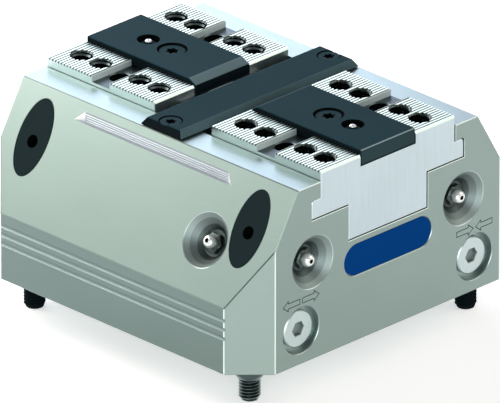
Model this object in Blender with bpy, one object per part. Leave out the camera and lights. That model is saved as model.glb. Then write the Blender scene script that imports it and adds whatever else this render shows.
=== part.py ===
# Self centering vise with a pneumatic wedge hook drive, in metres.
# X is the clamping direction, Y runs across the jaws, Z is up from the base face.
# At rest the piston is up and both jaws are at their outer ends.
import math

import bmesh
import bpy
from mathutils import Matrix, Vector

MM = 0.001

# Clearances
FIT_GAP = 0.3 * MM  # between pieces that touch or slide on each other
OVERCUT = 2 * MM  # how far a cutter runs past the face that it opens

# Body
WEB_THICKNESS = 7.8 * MM  # between the cylinder and the jaw guide
RAIL_WIDTH = 11.32 * MM  # level top on each side of the jaw guide
SIDE_HEIGHT = 26.1 * MM  # upright part of the long sides
SLOPE_ANGLE = math.radians(60)
CORNER_CHAMFER = 13 * MM
EDGE_BREAK = 0.5 * MM

# Grip grooves along the upright sides
GROOVE_COUNT = 3
GROOVE_TOP = 21.3 * MM
GROOVE_PITCH = 3.55 * MM
GROOVE_WIDTH = 1.6 * MM
GROOVE_DEPTH = 1 * MM

# Grip ledge in each slope
LEDGE_DROP = 6.5 * MM  # ledge floor below the body's top
LEDGE_DEPTH = 2.1 * MM
LEDGE_FROM_END = 33.6 * MM
LEDGE_FLARE = math.radians(60)

# Jaw guide in the body, a T with a tongue slot below it
NECK_HALF = 34.2 * MM
NECK_HEIGHT = 6.2 * MM
FLANGE_REACH = 4.5 * MM  # of the T's arms past its neck
FLANGE_HEIGHT = 7.8 * MM
FLANGE_CORNER = 1.2 * MM
TONGUE_HALF = 20.1 * MM
TONGUE_HEIGHT = 14 * MM

# Base jaws
JAW_LENGTH = 55.5 * MM
JAW_SETBACK = 0.2 * MM  # jaw end behind the body's end face when open
JAW_STROKE = 3 * MM
JAW_CLEARANCE = 1.1 * MM  # between a closed jaw and the centre bridge
PAD_RISE = 3.8 * MM  # above the body's top
TOOTH_PITCH = 1.5 * MM
TOOTH_TIP = 0.45 * MM
TOOTH_ANGLE = math.radians(60)
CROSS_SLOT_WIDTH = 9 * MM
CROSS_SLOT_DEPTH = 2.5 * MM
PLATE_GROOVE_HALF = 14 * MM
PLATE_GROOVE_DEPTH = 4.5 * MM
JAW_HOLE_RADIUS = 4.05 * MM
JAW_HOLE_DEPTH = 14 * MM
JAW_HOLE_PITCH = 10 * MM
JAW_HOLE_WALL = 1.5 * MM  # least wall between the last hole and the jaw's end

# Jaw cover plates
PLATE_RISE = 1.8 * MM  # above the pads
PLATE_BEVEL_LENGTH = 3.2 * MM
PLATE_BEVEL_HEIGHT = 1.6 * MM
PLATE_SCREW_FROM_END = 30 * MM
PLATE_SCREW_HEAD = 5.4 * MM
PLATE_SCREW_RADIUS = 3 * MM
PLATE_SCREW_LENGTH = 16 * MM
PLATE_NIPPLE_FROM_END = 17.8 * MM
PLATE_NIPPLE_RECESS = 4.1 * MM
PLATE_NIPPLE_HEAD = 1.8 * MM
PLATE_NIPPLE_DEPTH = 0.3 * MM  # nipple tip below the plate's top
GREASE_DUCT = 1 * MM

# Centre bridge
BRIDGE_BASE = 20.4 * MM
BRIDGE_CREST = 16.3 * MM
BRIDGE_HEIGHT = 2.85 * MM
BRIDGE_SCREW_INSET = 5.5 * MM  # from the edge of the body's top
BRIDGE_SCREW_HEAD = 4.3 * MM
BRIDGE_SCREW_RADIUS = 2 * MM
BRIDGE_SCREW_LENGTH = 8 * MM
SINK_ANGLE = math.radians(45)  # half angle of the countersinks

# Mounting screws, their holes, sleeves and cap plugs
MOUNT_FROM_END = 15 * MM
MOUNT_FROM_SIDE = 15 * MM
SCREW_SEAT = 9.9 * MM
SCREW_RADIUS = 4 * MM
SCREW_LENGTH = 25 * MM
SCREW_HEAD_RADIUS = 6.5 * MM
SCREW_HEAD_HEIGHT = 8 * MM
SCREW_HEX = 3 * MM  # half of the width across flats
SCREW_CHAMFER = 0.9 * MM
COUNTERBORE_RADIUS = 7.5 * MM
SLEEVE_RADIUS = 6 * MM
SLEEVE_BORE = 4.4 * MM
SLEEVE_TOP = 7 * MM
SLEEVE_REACH = 6.6 * MM
SLEEVE_TAPER = 2.1 * MM
CAP_SKIRT = 6 * MM  # plain length below the lowest point of the cap's rim
CAP_HOLE_RADIUS = 2.4 * MM
CAP_HOLE_DROP = 1.6 * MM  # down the slope from the cap's axis
CAP_HOLE_DEPTH = 5 * MM
CAP_SET = 0.15 * MM  # cap face below the slope

# Grease nipples in their conical recesses
RECESS_RADIUS = 10.3 * MM
RECESS_FLOOR = 5 * MM
RECESS_DEPTH = 5.6 * MM
NIPPLE_END_FROM_SIDE = 31.8 * MM
NIPPLE_END_DROP = 16.2 * MM  # below the arms of the jaw guide
NIPPLE_SLOPE_FROM_END = 32.3 * MM
NIPPLE_SLOPE_RISE = 20.1 * MM  # up the slope from its lower edge
NIPPLE_THREAD = 3 * MM
NIPPLE_THREAD_LENGTH = 8 * MM
NIPPLE_HEX = 3.5 * MM
NIPPLE_HEAD = 2.45 * MM
NIPPLE_TIP = 0.7 * MM  # nipple tip below the face

# Air port plugs
PORT_FROM_SIDE = 26 * MM
PORT_Z = 13.4 * MM
PORT_SINK_RADIUS = 9.25 * MM
PORT_SINK_DEPTH = 3.3 * MM
PORT_THREAD = 4.9 * MM
PORT_DEPTH = 9 * MM
PORT_PLUG_RADIUS = 7.1 * MM
PORT_PLUG_SET = 1.45 * MM
PORT_PLUG_HEX = 2.5 * MM
DUCT_RADIUS = 2 * MM

# Cylinder, piston and cover
COVER_WALL = 8.3 * MM  # between the cover and the body's nearest side
COVER_LAND = 11.7 * MM  # ring of the body that the cover's flange lies on
COVER_FLANGE = 7.7 * MM
COVER_SPIGOT = 4 * MM
COVER_SCREW_COUNT = 4
COVER_SCREW_RADIUS = 2.5 * MM
COVER_SCREW_LENGTH = 14 * MM
COVER_SCREW_HEAD = 4.25 * MM
COVER_SCREW_HEAD_HEIGHT = 5 * MM
COVER_SCREW_HEX = 2 * MM
COVER_SINK_RADIUS = 4.7 * MM
COVER_SINK_DEPTH = 5.5 * MM
PISTON_THICKNESS = 11.4 * MM
SEAL_WIDTH = 3 * MM
SEAL_HEIGHT = 2.6 * MM
STEM_SHOULDER = 0.8 * MM  # stem inside the wedge block's sides
SPIGOT_RADIUS = 12 * MM
SPIGOT_HEIGHT = 2.5 * MM
CLAMP_RADIUS = 5 * MM
CLAMP_HEAD_RADIUS = 8 * MM
CLAMP_HEAD_HEIGHT = 5.5 * MM
CLAMP_HEX = 3.5 * MM
CLAMP_LENGTH = 20 * MM

# Wedge hook
WEDGE_RATIO = 1 / 3  # jaw travel for each unit of piston travel
WEDGE_SETBACK = 1.4 * MM  # top of the wedge block behind the jaws' inner ends
HOOK_NECK_HALF = 6 * MM
HOOK_NECK_LENGTH = 4 * MM
HOOK_HEAD_HALF = 11 * MM
HOOK_HEAD_LENGTH = 5 * MM
HOOK_TOP_CLEARANCE = 0.8 * MM  # below the cover plates

# Facets
FINE = 28
ROUND = 20
SMALL = 18
TINY = 12

# Heights from the base up, as the pieces stand on each other
piston_stroke = JAW_STROKE / WEDGE_RATIO
cover_recess = COVER_FLANGE + FIT_GAP
cover_top = COVER_FLANGE + COVER_SPIGOT
piston_bottom = cover_top + FIT_GAP + piston_stroke
piston_top = piston_bottom + PISTON_THICKNESS
bore_top = piston_top + FIT_GAP
guide_floor = bore_top + WEB_THICKNESS
flange_floor = guide_floor + TONGUE_HEIGHT
flange_top = flange_floor + FLANGE_HEIGHT
body_top = flange_top + NECK_HEIGHT
ledge_height = body_top - LEDGE_DROP
bridge_bottom = body_top + FIT_GAP
bridge_top = bridge_bottom + BRIDGE_HEIGHT
pad_top = body_top + PAD_RISE
cross_slot_floor = pad_top - CROSS_SLOT_DEPTH
plate_groove_floor = pad_top - PLATE_GROOVE_DEPTH
plate_bottom = plate_groove_floor + FIT_GAP
plate_top = pad_top + PLATE_RISE
block_bottom = guide_floor + FIT_GAP + piston_stroke
block_top = plate_bottom - HOOK_TOP_CLEARANCE

# Lengths and widths from the middle out
jaw_inner = BRIDGE_BASE / 2 + JAW_STROKE + JAW_CLEARANCE
jaw_outer = jaw_inner + JAW_LENGTH
jaw_middle = (jaw_inner + jaw_outer) / 2
half_length = jaw_outer + JAW_SETBACK
flange_half = NECK_HALF + FLANGE_REACH
top_half = NECK_HALF + RAIL_WIDTH
half_width = top_half + (body_top - SIDE_HEIGHT) / math.tan(SLOPE_ANGLE)
hole_row = (PLATE_GROOVE_HALF + NECK_HALF - FIT_GAP) / 2
hole_pairs = int((JAW_LENGTH / 2 - JAW_HOLE_RADIUS - JAW_HOLE_WALL) / JAW_HOLE_PITCH)
mount_x = half_length - MOUNT_FROM_END
mount_y = half_width - MOUNT_FROM_SIDE
bridge_screw_y = top_half - BRIDGE_SCREW_INSET
cover_radius = min(half_length, half_width) - COVER_WALL
bore_radius = cover_radius - COVER_LAND
block_half = TONGUE_HALF - FIT_GAP
stem_radius = block_half - STEM_SHOULDER
wedge_top_half = jaw_inner - WEDGE_SETBACK
wedge_gap = FIT_GAP * math.hypot(1, WEDGE_RATIO)
slope_normal = Vector((0, -math.sin(SLOPE_ANGLE), math.cos(SLOPE_ANGLE)))
half_turn = Matrix.Rotation(math.pi, 4, "Z")


def slope_y(z):
    """Distance of the slope from the middle plane at a height."""
    return half_width - (z - SIDE_HEIGHT) / math.tan(SLOPE_ANGLE)


def slope_z(y):
    """Height of the slope at a distance from the middle plane."""
    return SIDE_HEIGHT + (half_width - y) * math.tan(SLOPE_ANGLE)


def wedge_half(z):
    """Half length of the wedge block at a height, with the piston up."""
    return wedge_top_half + (block_top - z) * WEDGE_RATIO


def make_material(name, color, roughness, metallic):
    material = bpy.data.materials.new(name)
    material.use_nodes = True
    shader = material.node_tree.nodes["Principled BSDF"]
    shader.inputs["Base Color"].default_value = (*color, 1)
    shader.inputs["Roughness"].default_value = roughness
    shader.inputs["Metallic"].default_value = metallic
    material.diffuse_color = (*color, 1)
    return material


def add_loft(bm, lower, upper):
    """Close a solid between two rings that have the same number of points."""
    low = [bm.verts.new(point) for point in lower]
    high = [bm.verts.new(point) for point in upper]
    bm.faces.new(low)
    bm.faces.new(high)
    for i in range(len(low)):
        bm.faces.new((low[i - 1], low[i], high[i], high[i - 1]))


def add_prism(bm, outline, axis, start, end):
    """Extrude an outline along an axis. Its points are the other two coordinates in X, Y, Z order."""
    place = {
        "X": lambda u, v, w: (w, u, v),
        "Y": lambda u, v, w: (u, w, v),
        "Z": lambda u, v, w: (u, v, w),
    }[axis]
    add_loft(bm, [place(u, v, start) for u, v in outline], [place(u, v, end) for u, v in outline])


def ring_radius(shape, size, angle):
    """Radius of a ring at an angle: a circle, a hexagon with half its width across flats, or a star."""
    if shape == "hex":
        return size / math.cos(angle % math.radians(60) - math.radians(30))
    if shape == "star":
        return size * (0.86 + 0.14 * math.cos(6 * angle))
    return size


def add_lathe(bm, rings, segments, matrix=None, closed=False):
    """Turn a profile of (radius, height) or (size, height, shape) rings about Z."""
    matrix = matrix or Matrix()
    loops = []
    for size, height, *shape in rings:
        if size == 0:
            loops.append([bm.verts.new(matrix @ Vector((0, 0, height)))])
            continue
        angles = [2 * math.pi * i / segments for i in range(segments)]
        radii = [ring_radius(shape[0] if shape else "circle", size, angle) for angle in angles]
        points = [Vector((r * math.cos(a), r * math.sin(a), height)) for r, a in zip(radii, angles)]
        loops.append([bm.verts.new(matrix @ point) for point in points])
    pairs = list(zip(loops, loops[1:]))
    if closed:
        pairs.append((loops[-1], loops[0]))
    for first, second in pairs:
        for i in range(segments):
            corners = [first[i - 1], first[i]] if len(first) > 1 else [first[0]]
            corners += [second[i], second[i - 1]] if len(second) > 1 else [second[0]]
            bm.faces.new(corners)


def new_object(name, bm, material=None):
    bmesh.ops.recalc_face_normals(bm, faces=bm.faces)
    mesh = bpy.data.meshes.new(name)
    bm.to_mesh(mesh)
    bm.free()
    thing = bpy.data.objects.new(name, mesh)
    bpy.context.scene.collection.objects.link(thing)
    if material:
        mesh.materials.append(material)
    return thing


def lathe_object(name, rings, segments, material, closed=False):
    bm = bmesh.new()
    add_lathe(bm, rings, segments, closed=closed)
    return shade(new_object(name, bm, material))


def cut(target, name, bm, operation="DIFFERENCE"):
    """Cut a solid out of the target, or join it on."""
    cutter = new_object(name, bm)
    cutter.hide_render = True
    cutter.display_type = "WIRE"
    boolean = target.modifiers.new(name, "BOOLEAN")
    boolean.operation = operation
    boolean.solver = "EXACT"
    boolean.object = cutter


def shade(thing):
    thing.data.shade_smooth()
    thing.data.set_sharp_from_angle(angle=math.radians(32))
    return thing


def settle(thing):
    """Write the cuts into the mesh and remove the cutters."""
    cutters = [modifier.object for modifier in thing.modifiers]
    evaluated = thing.evaluated_get(bpy.context.evaluated_depsgraph_get())
    mesh = bpy.data.meshes.new_from_object(evaluated)
    mesh.name = thing.name
    thing.modifiers.clear()
    thing.data = mesh
    for cutter in cutters:
        bpy.data.objects.remove(cutter)
    return shade(thing)


def place(thing, matrix, parent=None):
    thing.parent = parent
    thing.matrix_local = matrix
    return thing


def copy_of(thing, name, matrix, parent=None):
    """Another object with the same mesh."""
    twin = bpy.data.objects.new(name, thing.data)
    bpy.context.scene.collection.objects.link(twin)
    return place(twin, matrix, parent)


def cut_plane(bm, point, normal):
    """Keep what lies behind a plane and close the cut."""
    geometry = bm.verts[:] + bm.edges[:] + bm.faces[:]
    result = bmesh.ops.bisect_plane(bm, geom=geometry, plane_co=point, plane_no=normal, clear_outer=True)
    edges = [item for item in result["geom_cut"] if isinstance(item, bmesh.types.BMEdge)]
    bmesh.ops.holes_fill(bm, edges=edges)


def guide_section(clearance, top):
    """Outline of the jaw guide, or of the jaw that slides in it with a clearance all round."""
    neck = NECK_HALF - clearance
    flange = flange_half - clearance
    tongue = TONGUE_HALF - clearance
    shoulder = flange_top - clearance
    seat = flange_floor + clearance
    floor = guide_floor + clearance
    right = [
        (tongue, floor),
        (tongue, seat),
        (flange, seat),
        (flange, shoulder - FLANGE_CORNER),
        (flange - FLANGE_CORNER, shoulder),
        (neck, shoulder),
        (neck, top),
    ]
    return right + [(-y, z) for y, z in reversed(right)]


def hook_plan(z, clearance):
    """Plan of one T hook at a height, from inside the block outwards."""
    face = wedge_half(z)
    gap = clearance * math.hypot(1, WEDGE_RATIO)
    neck = HOOK_NECK_HALF + clearance
    head = HOOK_HEAD_HALF + clearance
    lip = face + HOOK_NECK_LENGTH - gap
    back = face + HOOK_NECK_LENGTH + HOOK_HEAD_LENGTH + gap
    return face, [(lip, neck), (lip, head), (back, head)]


def face_frame(point, normal):
    """Matrix that stands a Z axis tool on a point of a face, along the outward normal."""
    return Matrix.Translation(point) @ Vector(normal).to_track_quat("Z", "Y").to_matrix().to_4x4()


def nipple_places():
    """Places of the grease nipples in the faces of the body."""
    slope_point = Vector((
        half_length - NIPPLE_SLOPE_FROM_END,
        -half_width + NIPPLE_SLOPE_RISE * math.cos(SLOPE_ANGLE),
        SIDE_HEIGHT + NIPPLE_SLOPE_RISE * math.sin(SLOPE_ANGLE),
    ))
    end_y = half_width - NIPPLE_END_FROM_SIDE
    end_z = flange_floor - NIPPLE_END_DROP
    front = {
        "end_front": face_frame((half_length, -end_y, end_z), (1, 0, 0)),
        "end_right": face_frame((half_length, end_y, end_z), (1, 0, 0)),
        "slope_front": face_frame(slope_point, slope_normal),
    }
    rear = {
        "end_rear": half_turn @ front["end_front"],
        "end_left": half_turn @ front["end_right"],
        "slope_rear": half_turn @ front["slope_front"],
    }
    return {**front, **rear}


def port_places():
    port_y = half_width - PORT_FROM_SIDE
    return {
        "open": face_frame((half_length, -port_y, PORT_Z), (1, 0, 0)),
        "close": face_frame((half_length, port_y, PORT_Z), (1, 0, 0)),
    }


def screw_places():
    return {
        "front": (mount_x, -mount_y),
        "left": (-mount_x, -mount_y),
        "right": (mount_x, mount_y),
        "rear": (-mount_x, mount_y),
    }


def cover_screw_places():
    circle = (bore_radius + cover_radius) / 2
    angles = [2 * math.pi * i / COVER_SCREW_COUNT for i in range(COVER_SCREW_COUNT)]
    return [circle * Vector((math.cos(a), math.sin(a), 0)) for a in angles]


def cut_guide(body):
    bm = bmesh.new()
    outline = guide_section(0, body_top + OVERCUT)
    add_prism(bm, outline, "X", -half_length - OVERCUT, half_length + OVERCUT)
    cut(body, "guide_cut", bm)


def cut_cylinder(body):
    """Cover recess, cylinder bore and stem bore with its seal groove, from below."""
    groove_middle = (bore_top + guide_floor) / 2
    bm = bmesh.new()
    add_lathe(bm, [
        (0, -OVERCUT),
        (cover_radius + FIT_GAP, -OVERCUT),
        (cover_radius + FIT_GAP, cover_recess),
        (bore_radius, cover_recess),
        (bore_radius, bore_top),
        (stem_radius + FIT_GAP, bore_top),
        (stem_radius + FIT_GAP, groove_middle - SEAL_HEIGHT / 2 - FIT_GAP),
        (stem_radius + SEAL_WIDTH + 2 * FIT_GAP, groove_middle - SEAL_HEIGHT / 2 - FIT_GAP),
        (stem_radius + SEAL_WIDTH + 2 * FIT_GAP, groove_middle + SEAL_HEIGHT / 2 + FIT_GAP),
        (stem_radius + FIT_GAP, groove_middle + SEAL_HEIGHT / 2 + FIT_GAP),
        (stem_radius + FIT_GAP, guide_floor + OVERCUT),
        (0, guide_floor + OVERCUT),
    ], FINE)
    cut(body, "cylinder_cut", bm)


def cut_grooves(body):
    bm = bmesh.new()
    for side in (-1, 1):
        for i in range(GROOVE_COUNT):
            middle = GROOVE_TOP - i * GROOVE_PITCH
            outline = [
                (side * (half_width + OVERCUT), middle - GROOVE_WIDTH / 2),
                (side * (half_width - GROOVE_DEPTH / 2), middle - GROOVE_WIDTH / 2),
                (side * (half_width - GROOVE_DEPTH), middle - GROOVE_WIDTH / 4),
                (side * (half_width - GROOVE_DEPTH), middle + GROOVE_WIDTH / 4),
                (side * (half_width - GROOVE_DEPTH / 2), middle + GROOVE_WIDTH / 2),
                (side * (half_width + OVERCUT), middle + GROOVE_WIDTH / 2),
            ]
            add_prism(bm, outline, "X", -half_length - OVERCUT, half_length + OVERCUT)
    cut(body, "groove_cut", bm)


def cut_ledges(body):
    """Upright back wall, level floor and flared ends."""
    back = slope_y(ledge_height) - LEDGE_DEPTH
    front = slope_y(ledge_height) + OVERCUT
    half = half_length - LEDGE_FROM_END
    flare = (front - back) * math.tan(LEDGE_FLARE)
    bm = bmesh.new()
    for side in (-1, 1):
        outline = [
            (-half, side * back),
            (half, side * back),
            (half + flare, side * front),
            (-half - flare, side * front),
        ]
        add_prism(bm, outline, "Z", ledge_height, slope_z(back) + OVERCUT)
    cut(body, "ledge_cut", bm)


def cut_mounting_holes(body):
    """Clearance holes, counterbores that open in the slopes, and two seats for locating sleeves."""
    bm = bmesh.new()
    top = slope_z(mount_y - COUNTERBORE_RADIUS) + OVERCUT
    hole = SCREW_RADIUS + 2 * FIT_GAP
    for name, (x, y) in screw_places().items():
        has_sleeve = name in ("front", "rear")
        mouth = SLEEVE_RADIUS + FIT_GAP if has_sleeve else hole
        rings = [(0, -OVERCUT), (mouth, -OVERCUT)]
        if has_sleeve:
            rings += [(mouth, SLEEVE_TOP + FIT_GAP), (hole, SLEEVE_TOP + FIT_GAP)]
        rings += [(hole, SCREW_SEAT), (COUNTERBORE_RADIUS, SCREW_SEAT), (COUNTERBORE_RADIUS, top), (0, top)]
        add_lathe(bm, rings, ROUND, Matrix.Translation((x, y, 0)))
    cut(body, "mounting_hole_cut", bm)


def cut_nipple_seats(body):
    bm = bmesh.new()
    rise = RECESS_RADIUS + (RECESS_RADIUS - RECESS_FLOOR) / RECESS_DEPTH * OVERCUT
    thread = NIPPLE_THREAD + FIT_GAP
    bottom = -RECESS_DEPTH - NIPPLE_THREAD_LENGTH - FIT_GAP
    for matrix in nipple_places().values():
        add_lathe(bm, [
            (0, bottom),
            (thread, bottom),
            (thread, -RECESS_DEPTH),
            (RECESS_FLOOR, -RECESS_DEPTH),
            (rise, OVERCUT),
            (0, OVERCUT),
        ], ROUND, matrix)
    cut(body, "nipple_seat_cut", bm)


def cut_ports(body):
    """Counterbored port holes, and the ducts from them to both ends of the cylinder."""
    bm = bmesh.new()
    for matrix in port_places().values():
        add_lathe(bm, [
            (0, -PORT_DEPTH),
            (PORT_THREAD, -PORT_DEPTH),
            (PORT_THREAD, -PORT_SINK_DEPTH),
            (PORT_SINK_RADIUS, -PORT_SINK_DEPTH),
            (PORT_SINK_RADIUS, OVERCUT),
            (0, OVERCUT),
        ], ROUND, matrix)
    cut(body, "port_cut", bm)
    start_x = half_length - PORT_DEPTH + DUCT_RADIUS / 2
    port_y = half_width - PORT_FROM_SIDE
    reach = bore_radius - DUCT_RADIUS
    low_z = max(PORT_Z, cover_top)
    high_z = bore_top - DUCT_RADIUS
    ducts = [
        (Vector((start_x, -port_y, PORT_Z)), math.radians(-60), low_z),
        (Vector((start_x, port_y, PORT_Z)), math.radians(40), high_z),
    ]
    bm = bmesh.new()
    for start, angle, height in ducts:
        end = Vector((reach * math.cos(angle), reach * math.sin(angle), height))
        length = (end - start).length
        frame = face_frame(start, end - start)
        add_lathe(bm, [(0, 0), (DUCT_RADIUS, 0), (DUCT_RADIUS, length), (0, length)], TINY, frame)
    cut(body, "duct_cut", bm)


def cut_body_threads(body):
    """Holes for the bridge screws and the cover screws."""
    bm = bmesh.new()
    radius = BRIDGE_SCREW_RADIUS + FIT_GAP
    bottom = bridge_top - BRIDGE_SCREW_LENGTH - FIT_GAP
    for side in (-1, 1):
        matrix = Matrix.Translation((0, side * bridge_screw_y, 0))
        rings = [(0, bottom), (radius, bottom), (radius, body_top + OVERCUT), (0, body_top + OVERCUT)]
        add_lathe(bm, rings, TINY, matrix)
    radius = COVER_SCREW_RADIUS + FIT_GAP
    top = COVER_SINK_DEPTH + COVER_SCREW_LENGTH + FIT_GAP
    for point in cover_screw_places():
        rings = [(0, cover_recess - OVERCUT), (radius, cover_recess - OVERCUT), (radius, top), (0, top)]
        add_lathe(bm, rings, TINY, Matrix.Translation(point))
    cut(body, "thread_cut", bm)


def make_body(material):
    section = [
        (-half_width, 0),
        (half_width, 0),
        (half_width, SIDE_HEIGHT),
        (top_half, body_top),
        (-top_half, body_top),
        (-half_width, SIDE_HEIGHT),
    ]
    bm = bmesh.new()
    add_prism(bm, section, "X", -half_length, half_length)
    for x in (-1, 1):
        for y in (-1, 1):
            corner = Vector((x * half_length, y * (half_width - CORNER_CHAMFER), 0))
            cut_plane(bm, corner, Vector((x, y, 0)).normalized())
    bmesh.ops.recalc_face_normals(bm, faces=bm.faces)
    bmesh.ops.bevel(bm, geom=bm.edges[:], offset=EDGE_BREAK, segments=1, affect="EDGES")
    body = new_object("body", bm, material)
    cut_guide(body)
    cut_cylinder(body)
    cut_grooves(body)
    cut_ledges(body)
    cut_mounting_holes(body)
    cut_nipple_seats(body)
    cut_ports(body)
    cut_body_threads(body)
    return settle(body)


def cut_teeth(jaw):
    """Comb that leaves ridges across the jaw, with flat tips and 60 degree flanks."""
    depth = (TOOTH_PITCH - TOOTH_TIP) / 2 / math.tan(TOOTH_ANGLE / 2)
    count = math.ceil(JAW_LENGTH / 2 / TOOTH_PITCH) + 1
    comb = []
    for i in range(-count, count):
        tooth = jaw_middle + i * TOOTH_PITCH
        comb.append((tooth - TOOTH_TIP / 2, pad_top))
        comb.append((tooth + TOOTH_TIP / 2, pad_top))
        comb.append((tooth + TOOTH_PITCH / 2, pad_top - depth))
    outline = comb + [(comb[-1][0], pad_top + 2 * OVERCUT), (comb[0][0], pad_top + 2 * OVERCUT)]
    bm = bmesh.new()
    add_prism(bm, outline, "Y", -NECK_HALF - OVERCUT, NECK_HALF + OVERCUT)
    cut(jaw, "tooth_cut", bm)


def cut_jaw_slots(jaw):
    """Groove along the jaw for the cover plate, and the cross slot."""
    top = pad_top + 2 * OVERCUT
    bm = bmesh.new()
    half = PLATE_GROOVE_HALF
    outline = [(-half, plate_groove_floor), (half, plate_groove_floor), (half, top), (-half, top)]
    add_prism(bm, outline, "X", jaw_inner - OVERCUT, jaw_outer + OVERCUT)
    cut(jaw, "plate_groove_cut", bm)
    left = jaw_middle - CROSS_SLOT_WIDTH / 2
    right = jaw_middle + CROSS_SLOT_WIDTH / 2
    outline = [(left, cross_slot_floor), (right, cross_slot_floor), (right, top), (left, top)]
    bm = bmesh.new()
    add_prism(bm, outline, "Y", -NECK_HALF - OVERCUT, NECK_HALF + OVERCUT)
    cut(jaw, "cross_slot_cut", bm)


def cut_jaw_holes(jaw):
    """Two rows of threaded holes for top jaws, the plate's screw hole and the grease duct."""
    bm = bmesh.new()
    bottom = pad_top - JAW_HOLE_DEPTH
    top = pad_top + OVERCUT
    for side in (-1, 1):
        for i in range(-hole_pairs, hole_pairs + 1):
            matrix = Matrix.Translation((jaw_middle + i * JAW_HOLE_PITCH, side * hole_row, 0))
            rings = [(0, bottom), (JAW_HOLE_RADIUS, bottom), (JAW_HOLE_RADIUS, top), (0, top)]
            add_lathe(bm, rings, TINY, matrix)
    floor = plate_groove_floor + OVERCUT
    screw = PLATE_SCREW_RADIUS + FIT_GAP
    bottom = plate_top - PLATE_SCREW_LENGTH - FIT_GAP
    matrix = Matrix.Translation((jaw_outer - PLATE_SCREW_FROM_END, 0, 0))
    add_lathe(bm, [(0, bottom), (screw, bottom), (screw, floor), (0, floor)], TINY, matrix)
    bottom = guide_floor + FIT_GAP - OVERCUT
    matrix = Matrix.Translation((jaw_outer - PLATE_NIPPLE_FROM_END, 0, 0))
    add_lathe(bm, [(0, bottom), (GREASE_DUCT, bottom), (GREASE_DUCT, floor), (0, floor)], TINY, matrix)
    cut(jaw, "jaw_hole_cut", bm)


def cut_wedge_slot(jaw):
    """Inclined end that faces the wedge block, and the inclined T slot for its hook."""
    low = guide_floor - OVERCUT
    high = block_top + FIT_GAP
    half = block_half + FIT_GAP
    inside = jaw_inner - OVERCUT
    bm = bmesh.new()
    outline = [
        (inside, low),
        (wedge_half(low) + wedge_gap, low),
        (wedge_half(high) + wedge_gap, high),
        (inside, high),
    ]
    if wedge_half(high) + wedge_gap < inside:
        high = block_top - (inside - wedge_half(block_top) - wedge_gap) / WEDGE_RATIO
        outline = [(inside, low), (wedge_half(low) + wedge_gap, low), (inside, high)]
    add_prism(bm, outline, "Y", -half, half)
    cut(jaw, "wedge_face_cut", bm)
    bm = bmesh.new()
    high = plate_groove_floor + OVERCUT
    rings = []
    for z in (low, high):
        corners = hook_plan(z, FIT_GAP)[1]
        upper = [(inside - 2 * OVERCUT, corners[0][1])] + corners
        outline = upper + [(x, -y) for x, y in reversed(upper)]
        rings.append([(x, y, z) for x, y in outline])
    add_loft(bm, *rings)
    cut(jaw, "hook_slot_cut", bm)


def make_jaw(material):
    bm = bmesh.new()
    add_prism(bm, guide_section(FIT_GAP, pad_top + OVERCUT), "X", jaw_inner, jaw_outer)
    jaw = new_object("jaw_right", bm, material)
    cut_teeth(jaw)
    cut_jaw_slots(jaw)
    cut_jaw_holes(jaw)
    cut_wedge_slot(jaw)
    return settle(jaw)


def sink_rings(head, radius, top):
    """Countersink from its mouth above the face down to the screw's clearance hole."""
    drop = (head - radius) / math.tan(SINK_ANGLE)
    return [(radius, top - drop), (head, top), (head, top + OVERCUT), (0, top + OVERCUT)]


def sunk_screw(name, head, radius, length, material):
    """Countersunk screw with a star recess. Its origin is at the top of the head."""
    recess = head * 0.55
    drop = (head - radius) / math.tan(SINK_ANGLE)
    depth = head * 0.4
    tip = radius * 0.25
    return lathe_object(name, [
        (0, -length),
        (radius - tip, -length),
        (radius, -length + tip),
        (radius, -drop),
        (head, 0),
        (recess, 0, "star"),
        (recess, -depth, "star"),
        (0, -depth),
    ], TINY, material)


def make_plate(material):
    outline = [
        (jaw_inner, plate_bottom),
        (jaw_outer, plate_bottom),
        (jaw_outer, plate_top),
        (jaw_inner + PLATE_BEVEL_LENGTH, plate_top),
        (jaw_inner, plate_top - PLATE_BEVEL_HEIGHT),
    ]
    half = PLATE_GROOVE_HALF - FIT_GAP
    bm = bmesh.new()
    add_prism(bm, outline, "Y", -half, half)
    plate = new_object("jaw_cover_plate_right", bm, material)
    bm = bmesh.new()
    below = plate_bottom - OVERCUT
    radius = PLATE_SCREW_RADIUS + FIT_GAP
    matrix = Matrix.Translation((jaw_outer - PLATE_SCREW_FROM_END, 0, 0))
    rings = [(0, below), (radius, below)] + sink_rings(PLATE_SCREW_HEAD + FIT_GAP, radius, plate_top)
    add_lathe(bm, rings, ROUND, matrix)
    matrix = Matrix.Translation((jaw_outer - PLATE_NIPPLE_FROM_END, 0, 0))
    rings = [(0, below), (PLATE_NIPPLE_RECESS, below), (PLATE_NIPPLE_RECESS, plate_top + OVERCUT)]
    add_lathe(bm, rings + [(0, plate_top + OVERCUT)], ROUND, matrix)
    cut(plate, "plate_hole_cut", bm)
    return settle(plate)


def make_plate_nipple(material):
    """Small grease nipple that stands on the jaw inside the plate's hole."""
    seat = plate_bottom
    tip = plate_top - PLATE_NIPPLE_DEPTH
    head = PLATE_NIPPLE_HEAD
    return lathe_object("plate_nipple_right", [
        (0, seat),
        (PLATE_NIPPLE_RECESS - FIT_GAP, seat),
        (PLATE_NIPPLE_RECESS - FIT_GAP, seat + (tip - seat) * 0.4),
        (head, seat + (tip - seat) * 0.6),
        (head, tip - head / 4),
        (head * 0.8, tip),
        (head * 0.3, tip),
        (0, tip - head / 2),
    ], TINY, material)


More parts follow.
